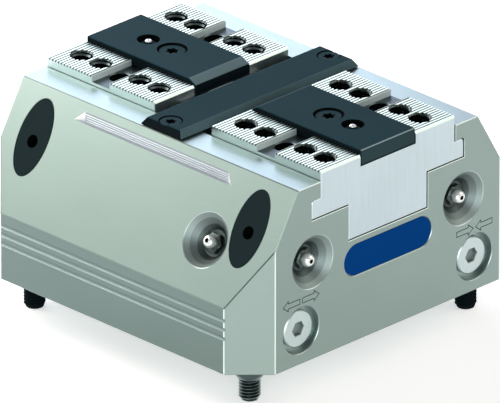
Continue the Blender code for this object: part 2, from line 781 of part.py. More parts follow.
def make_bridge(material):
    outline = [
        (-BRIDGE_BASE / 2, bridge_bottom),
        (BRIDGE_BASE / 2, bridge_bottom),
        (BRIDGE_CREST / 2, bridge_top),
        (-BRIDGE_CREST / 2, bridge_top),
    ]
    bm = bmesh.new()
    add_prism(bm, outline, "Y", -half_width, half_width)
    foot = slope_y(bridge_bottom)
    cut_plane(bm, Vector((0, -foot, bridge_bottom)), slope_normal)
    cut_plane(bm, Vector((0, foot, bridge_bottom)), half_turn.to_3x3() @ slope_normal)
    bridge = new_object("centre_bridge", bm, material)
    bm = bmesh.new()
    radius = BRIDGE_SCREW_RADIUS + FIT_GAP
    for side in (-1, 1):
        matrix = Matrix.Translation((0, side * bridge_screw_y, 0))
        rings = [(0, body_top - OVERCUT), (radius, body_top - OVERCUT)]
        add_lathe(bm, rings + sink_rings(BRIDGE_SCREW_HEAD + FIT_GAP, radius, bridge_top), ROUND, matrix)
    cut(bridge, "bridge_hole_cut", bm)
    return settle(bridge)


def make_mounting_screw(name, material):
    """Socket head screw. Its origin is under the head."""
    head = SCREW_HEAD_RADIUS
    return lathe_object(name, [
        (0, -SCREW_LENGTH),
        (SCREW_RADIUS - SCREW_CHAMFER, -SCREW_LENGTH),
        (SCREW_RADIUS, -SCREW_LENGTH + SCREW_CHAMFER),
        (SCREW_RADIUS, 0),
        (head, 0),
        (head, SCREW_HEAD_HEIGHT),
        (SCREW_HEX, SCREW_HEAD_HEIGHT, "hex"),
        (SCREW_HEX, SCREW_HEAD_HEIGHT / 2, "hex"),
        (0, SCREW_HEAD_HEIGHT / 2),
    ], TINY, material)


def make_sleeve(name, material):
    """Locating sleeve round a mounting screw, tapered at its lower end."""
    edge = SLEEVE_BORE + (SLEEVE_RADIUS - SLEEVE_BORE) / 4
    return lathe_object(name, [
        (SLEEVE_BORE, -SLEEVE_REACH),
        (edge, -SLEEVE_REACH),
        (SLEEVE_RADIUS, -SLEEVE_REACH + SLEEVE_TAPER),
        (SLEEVE_RADIUS, SLEEVE_TOP),
        (SLEEVE_BORE, SLEEVE_TOP),
    ], ROUND, material, closed=True)


def make_cap(name, material):
    """Plug with its face in the plane of the slope. Its origin is where its axis meets the slope."""
    radius = COUNTERBORE_RADIUS - FIT_GAP
    rise = radius * math.tan(SLOPE_ANGLE)
    bm = bmesh.new()
    foot = -rise - CAP_SKIRT
    head = rise + OVERCUT
    add_lathe(bm, [(0, foot), (radius, foot), (radius, head), (0, head)], ROUND)
    cut_plane(bm, -CAP_SET * slope_normal, slope_normal)
    cap = new_object(name, bm, material)
    bm = bmesh.new()
    floor = -CAP_HOLE_DEPTH
    rings = [(0, floor), (CAP_HOLE_RADIUS, floor), (CAP_HOLE_RADIUS, OVERCUT), (0, OVERCUT)]
    down = Vector((0, -math.cos(SLOPE_ANGLE), -math.sin(SLOPE_ANGLE)))
    add_lathe(bm, rings, SMALL, face_frame(CAP_HOLE_DROP * down, slope_normal))
    cut(cap, "cap_hole_cut", bm)
    return settle(cap)


def make_nipple(name, material):
    """Grease nipple along Z. Its origin is in the plane of the face that it stands in."""
    seat = -RECESS_DEPTH + FIT_GAP
    height = -NIPPLE_TIP - seat
    return lathe_object(name, [
        (0, -RECESS_DEPTH - NIPPLE_THREAD_LENGTH),
        (NIPPLE_THREAD, -RECESS_DEPTH - NIPPLE_THREAD_LENGTH),
        (NIPPLE_THREAD, seat),
        (NIPPLE_HEX, seat, "hex"),
        (NIPPLE_HEX, seat + height * 0.45, "hex"),
        (NIPPLE_HEAD, seat + height * 0.65),
        (NIPPLE_HEAD * 0.85, -NIPPLE_TIP),
        (NIPPLE_HEAD * 0.25, -NIPPLE_TIP),
        (0, -NIPPLE_TIP - NIPPLE_HEAD * 0.4),
    ], TINY, material)


def make_port_plug(name, material):
    """Threaded plug with a hexagon socket. Its origin is in the plane of the end face."""
    seat = -PORT_SINK_DEPTH + FIT_GAP
    thread = PORT_THREAD - FIT_GAP
    return lathe_object(name, [
        (0, -PORT_DEPTH + FIT_GAP + DUCT_RADIUS / 2),
        (thread, -PORT_DEPTH + FIT_GAP + DUCT_RADIUS / 2),
        (thread, seat),
        (PORT_PLUG_RADIUS, seat),
        (PORT_PLUG_RADIUS, -PORT_PLUG_SET),
        (PORT_PLUG_HEX, -PORT_PLUG_SET, "hex"),
        (PORT_PLUG_HEX, seat, "hex"),
        (0, seat),
    ], SMALL, material)


def make_cover(material):
    """Cylinder cover with a spigot in the bore and a groove for its seal ring."""
    spigot = bore_radius - FIT_GAP
    middle = COVER_FLANGE + COVER_SPIGOT / 2
    groove = spigot - SEAL_WIDTH
    low = middle - SEAL_HEIGHT / 2
    high = middle + SEAL_HEIGHT / 2
    bm = bmesh.new()
    add_lathe(bm, [
        (0, 0),
        (cover_radius, 0),
        (cover_radius, COVER_FLANGE),
        (spigot, COVER_FLANGE),
        (spigot, low),
        (groove, low),
        (groove, high),
        (spigot, high),
        (spigot, cover_top),
        (0, cover_top),
    ], FINE)
    cover = new_object("cylinder_cover", bm, material)
    bm = bmesh.new()
    hole = COVER_SCREW_RADIUS + FIT_GAP
    for point in cover_screw_places():
        add_lathe(bm, [
            (0, -OVERCUT),
            (COVER_SINK_RADIUS, -OVERCUT),
            (COVER_SINK_RADIUS, COVER_SINK_DEPTH),
            (hole, COVER_SINK_DEPTH),
            (hole, COVER_FLANGE + OVERCUT),
            (0, COVER_FLANGE + OVERCUT),
        ], TINY, Matrix.Translation(point))
    cut(cover, "cover_hole_cut", bm)
    return settle(cover)


def make_cover_screw(name, material):
    """Socket head screw that points up. Its origin is under the head."""
    return lathe_object(name, [
        (0, COVER_SCREW_LENGTH - FIT_GAP),
        (COVER_SCREW_RADIUS, COVER_SCREW_LENGTH - FIT_GAP),
        (COVER_SCREW_RADIUS, 0),
        (COVER_SCREW_HEAD, 0),
        (COVER_SCREW_HEAD, -COVER_SCREW_HEAD_HEIGHT),
        (COVER_SCREW_HEX, -COVER_SCREW_HEAD_HEIGHT, "hex"),
        (COVER_SCREW_HEX, -COVER_SCREW_HEAD_HEIGHT / 2, "hex"),
        (0, -COVER_SCREW_HEAD_HEIGHT / 2),
    ], TINY, material)


def make_ring(name, inner, outer, low, high, material):
    """Seal ring of square section."""
    section = [(inner, low), (outer, low), (outer, high), (inner, high)]
    return lathe_object(name, section, FINE, material, closed=True)


def make_piston(material):
    """Piston with a seal groove, a register for the stem and a counterbore for the clamp screw."""
    outer = bore_radius - FIT_GAP
    groove = outer - SEAL_WIDTH - FIT_GAP
    middle = (piston_bottom + piston_top) / 2
    half = SEAL_HEIGHT / 2 + FIT_GAP
    hole = CLAMP_RADIUS + FIT_GAP
    sink = CLAMP_HEAD_RADIUS + FIT_GAP
    return lathe_object("piston", [
        (hole, piston_bottom + CLAMP_HEAD_HEIGHT + FIT_GAP),
        (sink, piston_bottom + CLAMP_HEAD_HEIGHT + FIT_GAP),
        (sink, piston_bottom),
        (outer, piston_bottom),
        (outer, middle - half),
        (groove, middle - half),
        (groove, middle + half),
        (outer, middle + half),
        (outer, piston_top),
        (SPIGOT_RADIUS + FIT_GAP, piston_top),
        (SPIGOT_RADIUS + FIT_GAP, piston_top - SPIGOT_HEIGHT - FIT_GAP),
        (hole, piston_top - SPIGOT_HEIGHT - FIT_GAP),
    ], FINE, material, closed=True)


def make_clamp_screw(material):
    """Low head screw that holds the wedge hook on the piston."""
    seat = piston_bottom + CLAMP_HEAD_HEIGHT
    return lathe_object("clamp_screw", [
        (0, piston_bottom + CLAMP_HEAD_HEIGHT / 2),
        (CLAMP_HEX, piston_bottom + CLAMP_HEAD_HEIGHT / 2, "hex"),
        (CLAMP_HEX, piston_bottom, "hex"),
        (CLAMP_HEAD_RADIUS, piston_bottom),
        (CLAMP_HEAD_RADIUS, seat),
        (CLAMP_RADIUS, seat),
        (CLAMP_RADIUS, seat + CLAMP_LENGTH),
        (0, seat + CLAMP_LENGTH),
    ], TINY, material)


def make_wedge_hook(material):
    """Wedge block with a T hook on each inclined face, on a round stem with a spigot."""
    bm = bmesh.new()
    rings = []
    for z in (block_bottom, block_top):
        face, corners = hook_plan(z, 0)
        quarter = [(face, block_half), (face, corners[0][1])] + corners
        right = quarter + [(x, -y) for x, y in reversed(quarter)]
        outline = right + [(-x, -y) for x, y in right]
        rings.append([(x, y, z) for x, y in outline])
    add_loft(bm, *rings)
    hook = new_object("wedge_hook", bm, material)
    stem_bottom = piston_top + FIT_GAP
    bm = bmesh.new()
    add_lathe(bm, [
        (0, stem_bottom - SPIGOT_HEIGHT),
        (SPIGOT_RADIUS, stem_bottom - SPIGOT_HEIGHT),
        (SPIGOT_RADIUS, stem_bottom),
        (stem_radius, stem_bottom),
        (stem_radius, block_bottom + OVERCUT),
        (0, block_bottom + OVERCUT),
    ], FINE)
    cut(hook, "stem_join", bm, "UNION")
    bm = bmesh.new()
    radius = CLAMP_RADIUS + FIT_GAP
    low = stem_bottom - SPIGOT_HEIGHT - OVERCUT
    high = piston_bottom + CLAMP_HEAD_HEIGHT + CLAMP_LENGTH + 2 * FIT_GAP
    add_lathe(bm, [(0, low), (radius, low), (radius, high), (0, high)], TINY)
    cut(hook, "clamp_hole_cut", bm)
    return settle(hook)


def add_empty(name, matrix):
    empty = bpy.data.objects.new(name, None)
    bpy.context.scene.collection.objects.link(empty)
    empty.matrix_world = matrix
    return empty


def build_housing(steel, dark_steel, black, rubber, nipple_steel, plug_steel):
    """Everything that stays still: the body and what is fixed in it."""
    make_body(steel)
    make_bridge(black)
    sizes = (BRIDGE_SCREW_HEAD, BRIDGE_SCREW_RADIUS, BRIDGE_SCREW_LENGTH)
    first = sunk_screw("bridge_screw_front", *sizes, dark_steel)
    place(first, Matrix.Translation((0, -bridge_screw_y, bridge_top)))
    copy_of(first, "bridge_screw_rear", Matrix.Translation((0, bridge_screw_y, bridge_top)))
    screw = make_mounting_screw("mounting_screw_front", dark_steel)
    cap = make_cap("cap_plug_front", black)
    for name, (x, y) in screw_places().items():
        screw_place = Matrix.Translation((x, y, SCREW_SEAT + FIT_GAP))
        turn = half_turn if y > 0 else Matrix()
        cap_place = Matrix.Translation((x, y, slope_z(mount_y))) @ turn
        if name == "front":
            place(screw, screw_place)
            place(cap, cap_place)
        else:
            copy_of(screw, "mounting_screw_" + name, screw_place)
            copy_of(cap, "cap_plug_" + name, cap_place)
    places = screw_places()
    sleeve = make_sleeve("locating_sleeve_front", nipple_steel)
    place(sleeve, Matrix.Translation((*places["front"], 0)))
    copy_of(sleeve, "locating_sleeve_rear", Matrix.Translation((*places["rear"], 0)))
    nipple = None
    for name, matrix in nipple_places().items():
        if nipple is None:
            nipple = place(make_nipple("grease_nipple_" + name, nipple_steel), matrix)
        else:
            copy_of(nipple, "grease_nipple_" + name, matrix)
    ports = port_places()
    plug = place(make_port_plug("port_plug_open", plug_steel), ports["open"])
    copy_of(plug, "port_plug_close", ports["close"])
    middle = (bore_top + guide_floor) / 2
    low = middle - SEAL_HEIGHT / 2
    high = middle + SEAL_HEIGHT / 2
    make_ring("rod_seal", stem_radius + FIT_GAP, stem_radius + FIT_GAP + SEAL_WIDTH, low, high, rubber)
    make_cover(steel)
    spigot = bore_radius - FIT_GAP
    middle = COVER_FLANGE + COVER_SPIGOT / 2
    low = middle - SEAL_HEIGHT / 2 + FIT_GAP
    high = middle + SEAL_HEIGHT / 2 - FIT_GAP
    make_ring("cover_seal", spigot - SEAL_WIDTH + FIT_GAP, spigot, low, high, rubber)
    screw = None
    for i, point in enumerate(cover_screw_places()):
        matrix = Matrix.Translation(point + Vector((0, 0, COVER_SINK_DEPTH - FIT_GAP)))
        if screw is None:
            screw = place(make_cover_screw("cover_screw_1", dark_steel), matrix)
        else:
            copy_of(screw, "cover_screw_" + str(i + 1), matrix)


def build_jaws(jaw_steel, dark_steel, black, nipple_steel):
    """The right jaw with its cover, and the left jaw as the same pieces turned about Z."""
    right = add_empty("jaw_carriage_right", Matrix())
    left = add_empty("jaw_carriage_left", half_turn)
    sizes = (PLATE_SCREW_HEAD, PLATE_SCREW_RADIUS, PLATE_SCREW_LENGTH)
    screw = sunk_screw("plate_screw_right", *sizes, dark_steel)
    screw_place = Matrix.Translation((jaw_outer - PLATE_SCREW_FROM_END, 0, plate_top))
    nipple_place = Matrix.Translation((jaw_outer - PLATE_NIPPLE_FROM_END, 0, 0))
    pieces = [
        (make_jaw(jaw_steel), Matrix()),
        (make_plate(black), Matrix()),
        (screw, screw_place),
        (make_plate_nipple(nipple_steel), nipple_place),
    ]
    for piece, matrix in pieces:
        place(piece, matrix, right)
        copy_of(piece, piece.name.replace("right", "left"), matrix, left)


def build_drive(hook_steel, piston_metal, dark_steel, rubber):
    """The piston and the wedge hook, which move up and down together."""
    drive = add_empty("drive", Matrix())
    outer = bore_radius - FIT_GAP
    middle = (piston_bottom + piston_top) / 2
    low = middle - SEAL_HEIGHT / 2
    high = middle + SEAL_HEIGHT / 2
    pieces = [
        make_wedge_hook(hook_steel),
        make_piston(piston_metal),
        make_ring("piston_seal", outer - SEAL_WIDTH, outer, low, high, rubber),
        make_clamp_screw(dark_steel),
    ]
    for piece in pieces:
        place(piece, Matrix(), drive)


def main():
    for thing in list(bpy.data.objects):
        bpy.data.objects.remove(thing)
    steel = make_material("body_steel", (0.55, 0.62, 0.58), 0.35, 0.9)
    jaw_steel = make_material("jaw_steel", (0.72, 0.76, 0.78), 0.3, 0.95)
    hook_steel = make_material("hook_steel", (0.45, 0.45, 0.46), 0.35, 1.0)
    nipple_steel = make_material("nipple_steel", (0.75, 0.77, 0.75), 0.2, 1.0)
    plug_steel = make_material("plug_steel", (0.62, 0.68, 0.66), 0.4, 0.9)
    dark_steel = make_material("dark_steel", (0.03, 0.035, 0.035), 0.4, 0.6)
    piston_metal = make_material("piston_metal", (0.7, 0.71, 0.72), 0.35, 1.0)
    black = make_material("black_cover", (0.03, 0.042, 0.047), 0.45, 0.1)
    rubber = make_material("seal_rubber", (0.02, 0.02, 0.02), 0.7, 0.0)
    build_housing(steel, dark_steel, black, rubber, nipple_steel, plug_steel)
    build_jaws(jaw_steel, dark_steel, black, nipple_steel)
    build_drive(hook_steel, piston_metal, dark_steel, rubber)


main()
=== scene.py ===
# Self centering vise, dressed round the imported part. X is the clamping direction, +Z is up.
# Shapes are worked out in millimetres and scaled to metres when a mesh is made.
import math

import bmesh
import bpy
from mathutils import Matrix, Vector


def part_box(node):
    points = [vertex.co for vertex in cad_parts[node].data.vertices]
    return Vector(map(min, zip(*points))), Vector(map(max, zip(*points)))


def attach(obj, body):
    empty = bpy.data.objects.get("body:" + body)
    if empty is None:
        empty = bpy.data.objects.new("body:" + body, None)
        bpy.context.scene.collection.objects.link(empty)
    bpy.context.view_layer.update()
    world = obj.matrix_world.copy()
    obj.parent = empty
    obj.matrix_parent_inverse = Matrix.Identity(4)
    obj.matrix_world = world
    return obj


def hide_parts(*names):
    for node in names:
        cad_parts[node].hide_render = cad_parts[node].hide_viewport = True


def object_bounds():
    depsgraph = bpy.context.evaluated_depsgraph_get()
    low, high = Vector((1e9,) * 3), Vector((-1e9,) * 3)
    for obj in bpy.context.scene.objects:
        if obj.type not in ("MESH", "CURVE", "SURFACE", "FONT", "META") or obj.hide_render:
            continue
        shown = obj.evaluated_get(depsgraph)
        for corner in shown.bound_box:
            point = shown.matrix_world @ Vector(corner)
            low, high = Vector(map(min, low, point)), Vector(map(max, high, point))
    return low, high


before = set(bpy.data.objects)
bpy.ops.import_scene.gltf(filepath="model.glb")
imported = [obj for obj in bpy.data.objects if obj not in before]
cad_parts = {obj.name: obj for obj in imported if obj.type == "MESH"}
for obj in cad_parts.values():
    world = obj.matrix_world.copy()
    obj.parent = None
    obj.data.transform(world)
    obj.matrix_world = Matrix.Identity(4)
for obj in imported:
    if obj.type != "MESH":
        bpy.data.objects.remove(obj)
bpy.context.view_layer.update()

mm = 0.001
past = 2  # how far a cutter runs past the face that it opens
halfTurn = Matrix.Rotation(math.pi, 4, "Z")


def boxOf(node):
    low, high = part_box(node)
    return low / mm, high / mm


def shift(x, y, z=0):
    return Matrix.Translation((x, y, z))


def newObject(name, data):
    thing = bpy.data.objects.new(name, data)
    bpy.context.scene.collection.objects.link(thing)
    return thing


# Mesh tools

def loft(bm, rings, closed=False):
    # rings with the same number of points, joined in order; the first and last are capped unless closed
    loops = [[bm.verts.new(point) for point in ring] for ring in rings]
    pairs = list(zip(loops, loops[1:]))
    if closed:
        pairs.append((loops[-1], loops[0]))
    else:
        bm.faces.new(loops[0])
        bm.faces.new(loops[-1])
    for first, second in pairs:
        for i in range(len(first)):
            bm.faces.new((first[i - 1], first[i], second[i], second[i - 1]))
    return bm


def offset(outline, distance):
    # the outline moved outwards by a distance, with mitred corners
    area = sum(a[0] * b[1] - b[0] * a[1] for a, b in zip(outline, outline[1:] + outline[:1]))
    turn = 1 if area > 0 else -1
    moved = []
    for i, here in enumerate(outline):
        before = Vector(here) - Vector(outline[i - 1])
        after = Vector(outline[(i + 1) % len(outline)]) - Vector(here)
        n1 = Vector((before.y, -before.x)).normalized() * turn
        n2 = Vector((after.y, -after.x)).normalized() * turn
        moved.append(tuple(Vector(here) + (n1 + n2) * (distance / (1 + n1.dot(n2)))))
    return moved


def prism(bm, outline, axis, stations):
    # stations are (place along the X or Y axis, offset of the outline there)
    rings = []
    for w, grow in stations:
        shape = offset(outline, grow) if grow else outline
        rings.append([(w, u, v) if axis == "X" else (u, w, v) for u, v in shape])
    return loft(bm, rings)


def ringRadius(shape, size, angle):
    if shape == "hex":  # size is half the width across flats
        return size / math.cos(angle % math.radians(60) - math.radians(30))
    if shape == "star":  # six rounded lobes
        return size * (0.85 + 0.15 * math.cos(6 * angle))
    return size


def flatEnd(ring):
    # the middle of a flat end, where a turned shape doesn't end in a point
    return [(0, ring[1])] if ring[0] else []


def lathe(bm, rings, segments, matrix=None, closed=False):
    # rings are (radius, height) or (size, height, shape), turned about Z
    matrix = matrix or Matrix()
    if not closed:
        rings = flatEnd(rings[0]) + rings + flatEnd(rings[-1])
    loops = []
    for size, height, *shape in rings:
        if size == 0:
            loops.append([bm.verts.new(matrix @ Vector((0, 0, height)))])
            continue
        loop = []
        for i in range(segments):
            angle = 2 * math.pi * i / segments
            radius = ringRadius(shape[0] if shape else "circle", size, angle)
            point = Vector((radius * math.cos(angle), radius * math.sin(angle), height))
            loop.append(bm.verts.new(matrix @ point))
        loops.append(loop)
    pairs = list(zip(loops, loops[1:]))
    if closed:
        pairs.append((loops[-1], loops[0]))
    for first, second in pairs:
        for i in range(segments):
            corners = [first[i - 1], first[i]] if len(first) > 1 else [first[0]]
            corners += [second[i], second[i - 1]] if len(second) > 1 else [second[0]]
            bm.faces.new(corners)
    return bm


def arc(centre, radius, start, end, steps):
    # points of an arc as (u, v), angles in degrees
    turns = [math.radians(start + (end - start) * i / steps) for i in range(steps + 1)]
    return [(centre[0] + radius * math.cos(a), centre[1] + radius * math.sin(a)) for a in turns]


def thread(bm, root, crest, pitch, low, high, matrix, facets=32):
    # a ridge of V section that winds up a shank, or inwards from the wall of a hole
    steps = int(((high - low) / pitch - 1) * facets)
    rings = []
    for i in range(steps + 1):
        angle = 2 * math.pi * i / facets
        z = low + pitch * i / facets
        fade = min(1, i / facets * 3, (steps - i) / facets * 3)
        tip = root + (crest - root) * max(fade, 0.02)
        section = [(root, z), (tip, z + 0.41 * pitch), (tip, z + 0.52 * pitch), (root, z + 0.93 * pitch)]
        rings.append([matrix @ Vector((r * math.cos(angle), r * math.sin(angle), h)) for r, h in section])
    loft(bm, rings)


def cutPlane(bm, point, normal):
    # keeps what lies behind a plane and closes the cut
    geometry = bm.verts[:] + bm.edges[:] + bm.faces[:]
    result = bmesh.ops.bisect_plane(bm, geom=geometry, plane_co=point, plane_no=normal, clear_outer=True)
    edges = [item for item in result["geom_cut"] if isinstance(item, bmesh.types.BMEdge)]
    bmesh.ops.holes_fill(bm, edges=edges)


def breakEdges(bm, width, least=15, slot=0):
    # bevels the edges that turn by more than the least angle; the new faces take a material slot
    bmesh.ops.recalc_face_normals(bm, faces=bm.faces)
    edges = [e for e in bm.edges if len(e.link_faces) == 2 and e.calc_face_angle(0) > math.radians(least)]
    made = bmesh.ops.bevel(bm, geom=edges, offset=width, segments=1, profile=0.5, affect="EDGES")
    for face in made["faces"]:
        face.material_index = slot


def meshFrom(name, bm, *looks):
    # a piece from a bmesh, with a material slot for each finish
    bmesh.ops.recalc_face_normals(bm, faces=bm.faces)
    mesh = bpy.data.meshes.new(name)
    bm.to_mesh(mesh)
    bm.free()
    for look in looks:
        mesh.materials.append(finishes[look])
    return newObject(name, mesh)


def carve(thing, cutters, *look):
    # cuts each bmesh in turn out of the piece; a finish goes on the cut faces
    for bm in cutters:
        boolean = thing.modifiers.new("cut", "BOOLEAN")
        boolean.operation = "DIFFERENCE"
        boolean.solver = "EXACT"
        boolean.object = meshFrom(thing.name + "_cutter", bm, *look)
        boolean.material_mode = "TRANSFER" if look else "INDEX"
    cutters = [modifier.object for modifier in thing.modifiers]
    shaped = bpy.data.meshes.new_from_object(thing.evaluated_get(bpy.context.evaluated_depsgraph_get()))
    thing.modifiers.clear()
    thing.data = shaped
    for cutter in cutters:
        bpy.data.objects.remove(cutter)


def paint(thing, look, test):
    # another finish on the faces whose middle passes a test
    slots = thing.data.materials
    name = finishes[look].name
    if name not in slots:
        slots.append(finishes[look])
    for face in thing.data.polygons:
        if test(face.center, face.normal):
            face.material_index = slots.find(name)


def settle(thing, body, node):
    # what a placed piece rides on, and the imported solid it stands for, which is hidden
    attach(thing, body)
    if node:
        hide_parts(node)


def addPiece(thing, body, node, sharp=30):
    # scales the mesh to metres and shades it, smooth up to an angle
    thing.data.transform(Matrix.Scale(mm, 4))
    thing.data.shade_smooth()
    thing.data.set_sharp_from_angle(angle=math.radians(sharp))
    settle(thing, body, node)


def twinOf(thing, name, matrix, body, node):
    # another piece with the same mesh moved by a matrix in millimetres
    mesh = thing.data.copy()
    mesh.transform(Matrix.Scale(mm, 4) @ matrix @ Matrix.Scale(1 / mm, 4))
    twin = newObject(name, mesh)
    settle(twin, body, node)
    return twin


def addSet(thing, name, node, places):
    # one mesh at several places of the housing; gives back the pieces after the first
    (first, start), *others = places.items()
    thing.data.transform(start)
    addPiece(thing, "housing", node + first)
    return [twinOf(thing, name + key, place @ start.inverted(), "housing", node + key)
            for key, place in others]


def addJawPair(thing, name, node, sharp=30):
    # a piece of the right jaw and its twin on the left jaw, which it gives back
    addPiece(thing, "right_jaw", node + "_right", sharp)
    return twinOf(thing, name + "_left", halfTurn, "left_jaw", node + "_left")


def faceFrame(point, normal):
    # stands a Z axis tool on a point of a face, along the outward normal
    return Matrix.Translation(point) @ Vector(normal).to_track_quat("Z", "Y").to_matrix().to_4x4()


# Shader tools

class Wire:  # wraps a socket, so that shader maths reads as plain sums
    def __init__(self, finish, socket):
        self.finish = finish
        self.socket = socket

    def maths(self, operation, *values):
        return self.finish.node("ShaderNodeMath", {"operation": operation}, list(values))

    def __add__(self, other):
        return self.maths("ADD", self, other)

    def __radd__(self, other):
        return self.maths("ADD", other, self)

    def __sub__(self, other):
        return self.maths("SUBTRACT", self, other)

    def __rsub__(self, other):
        return self.maths("SUBTRACT", other, self)

    def __mul__(self, other):
        return self.maths("MULTIPLY", self, other)

    def __rmul__(self, other):
        return self.maths("MULTIPLY", other, self)


noiseSpan = (0.3, 0.7)  # where most of a noise lies


class Finish:  # one material and the nodes that make it
    def __init__(self, name, look):
        self.material = bpy.data.materials.new(name)
        self.material.use_nodes = True
        self.tree = self.material.node_tree
        self.shader = self.tree.nodes["Principled BSDF"]
        self.material.diffuse_color = (*look["color"], 1)
        self.fix("Base Color", (*look["color"], 1))
        self.fix("Roughness", look["roughness"])
        self.fix("Metallic", look["metallic"])
        self.fix("Specular IOR Level", look.get("specular", 0.5))

    def fix(self, socket, value):
        self.shader.inputs[socket].default_value = value

    def feed(self, socket, wire):
        self.tree.links.new(wire.socket, self.shader.inputs[socket])

    def node(self, kind, settings=None, values=None, out=0):
        made = self.tree.nodes.new(kind)
        for key, value in (settings or {}).items():
            setattr(made, key, value)
        pairs = values.items() if isinstance(values, dict) else enumerate(values or [])
        for key, value in pairs:
            if isinstance(value, Wire):
                self.tree.links.new(value.socket, made.inputs[key])
            else:
                made.inputs[key].default_value = value
        return Wire(self, made.outputs[out])

    def noise(self, vector, scale, detail=2, rough=0.5):
        values = {"Vector": vector, "Scale": scale, "Detail": detail, "Roughness": rough}
        return self.node("ShaderNodeTexNoise", {}, values)

    def stretch(self, vector, factors):
        return self.node("ShaderNodeVectorMath", {"operation": "MULTIPLY"}, [vector, factors])

    def blend(self, factor, first, second):
        return self.node("ShaderNodeMix", {"data_type": "RGBA"}, {0: factor, 6: first, 7: second}, 2)

    def ramp(self, value, low, high, start=0.0, end=1.0):
        # value from low to high becomes start to end, and stays there outside
        return self.node("ShaderNodeMapRange", {}, [value, low, high, start, end])

    def grained(self, look, fine, cloud):
        # tone, roughness and relief follow a fine grain, and slow clouds change the tone
        share = look["grainShare"]
        tone = self.ramp(fine * share + cloud * (1 - share), *noiseSpan)
        low = [channel * (1 - look["contrast"]) for channel in look["color"]]
        high = [channel * (1 + look["contrast"]) for channel in look["color"]]
        base = self.blend(tone, (*low, 1), (*high, 1))
        # painted sheen: lighter where the face turns away from the view, standing in for a reflection
        if "paintedSheen" in look:
            turned = self.node("ShaderNodeLayerWeight", {}, {"Blend": 0.5}, "Facing")
            base = self.blend(self.ramp(turned, *look["paintedSheenFrom"]), base, (*look["paintedSheen"], 1))
        self.feed("Base Color", base)
        rough, spread = look["roughness"], look["roughSpread"]
        self.feed("Roughness", self.ramp(fine, *noiseSpan, rough - spread, rough + spread))
        relief = {"Strength": look["bump"], "Distance": look["relief"] * mm, "Height": fine}
        self.feed("Normal", self.node("ShaderNodeBump", {}, relief))
        return self.material


steelLook = {
    "roughness": 0.36,
    "roughSpread": 0.04,
    "metallic": 1.0,
    "stretch": 0.03,  # of the noise, along the streaks
    "streaks": 2600,
    "clouds": 28,
    "grainShare": 0.6,  # the rest of the tone comes from the clouds
    "contrast": 0.04,
    "bump": 0.1,
    "relief": 0.02,
    "endFace": (0.75, 0.85),  # how far a face looks along X where its streaks turn upright
}
coatLook = {
    "roughness": 0.5,
    "roughSpread": 0.05,
    "metallic": 0.0,
    "specular": 0.015,
    "grain": 5000,
    "clouds": 40,
    "grainShare": 0.5,
    "contrast": 0.1,
    "bump": 0.15,
    "relief": 0.03,
}


def brushedSteel(name, look):
    # fine streaks, upright on faces that look along X and lengthwise on the others
    finish = Finish(name, look)
    place = finish.node("ShaderNodeTexCoord", out="Object")
    facing = finish.node("ShaderNodeTexCoord", out="Normal")
    along = finish.node("ShaderNodeSeparateXYZ", {}, [facing])
    endFace = finish.ramp(along.maths("ABSOLUTE", along), *look["endFace"])
    thin = look["stretch"]
    lengthwise = finish.noise(finish.stretch(place, (thin, 1, 1)), look["streaks"], 3, 0.6)
    upright = finish.noise(finish.stretch(place, (1, 1, thin)), look["streaks"], 3, 0.6)
    streak = lengthwise + (upright - lengthwise) * endFace
    return finish.grained(look, streak, finish.noise(place, look["clouds"]))


def satinCoat(name, look):
    # even dark coating with a faint grain
    finish = Finish(name, look)
    place = finish.node("ShaderNodeTexCoord", out="Object")
    grain = finish.noise(place, look["grain"], 3, 0.6)
    return finish.grained(look, grain, finish.noise(place, look["clouds"]))


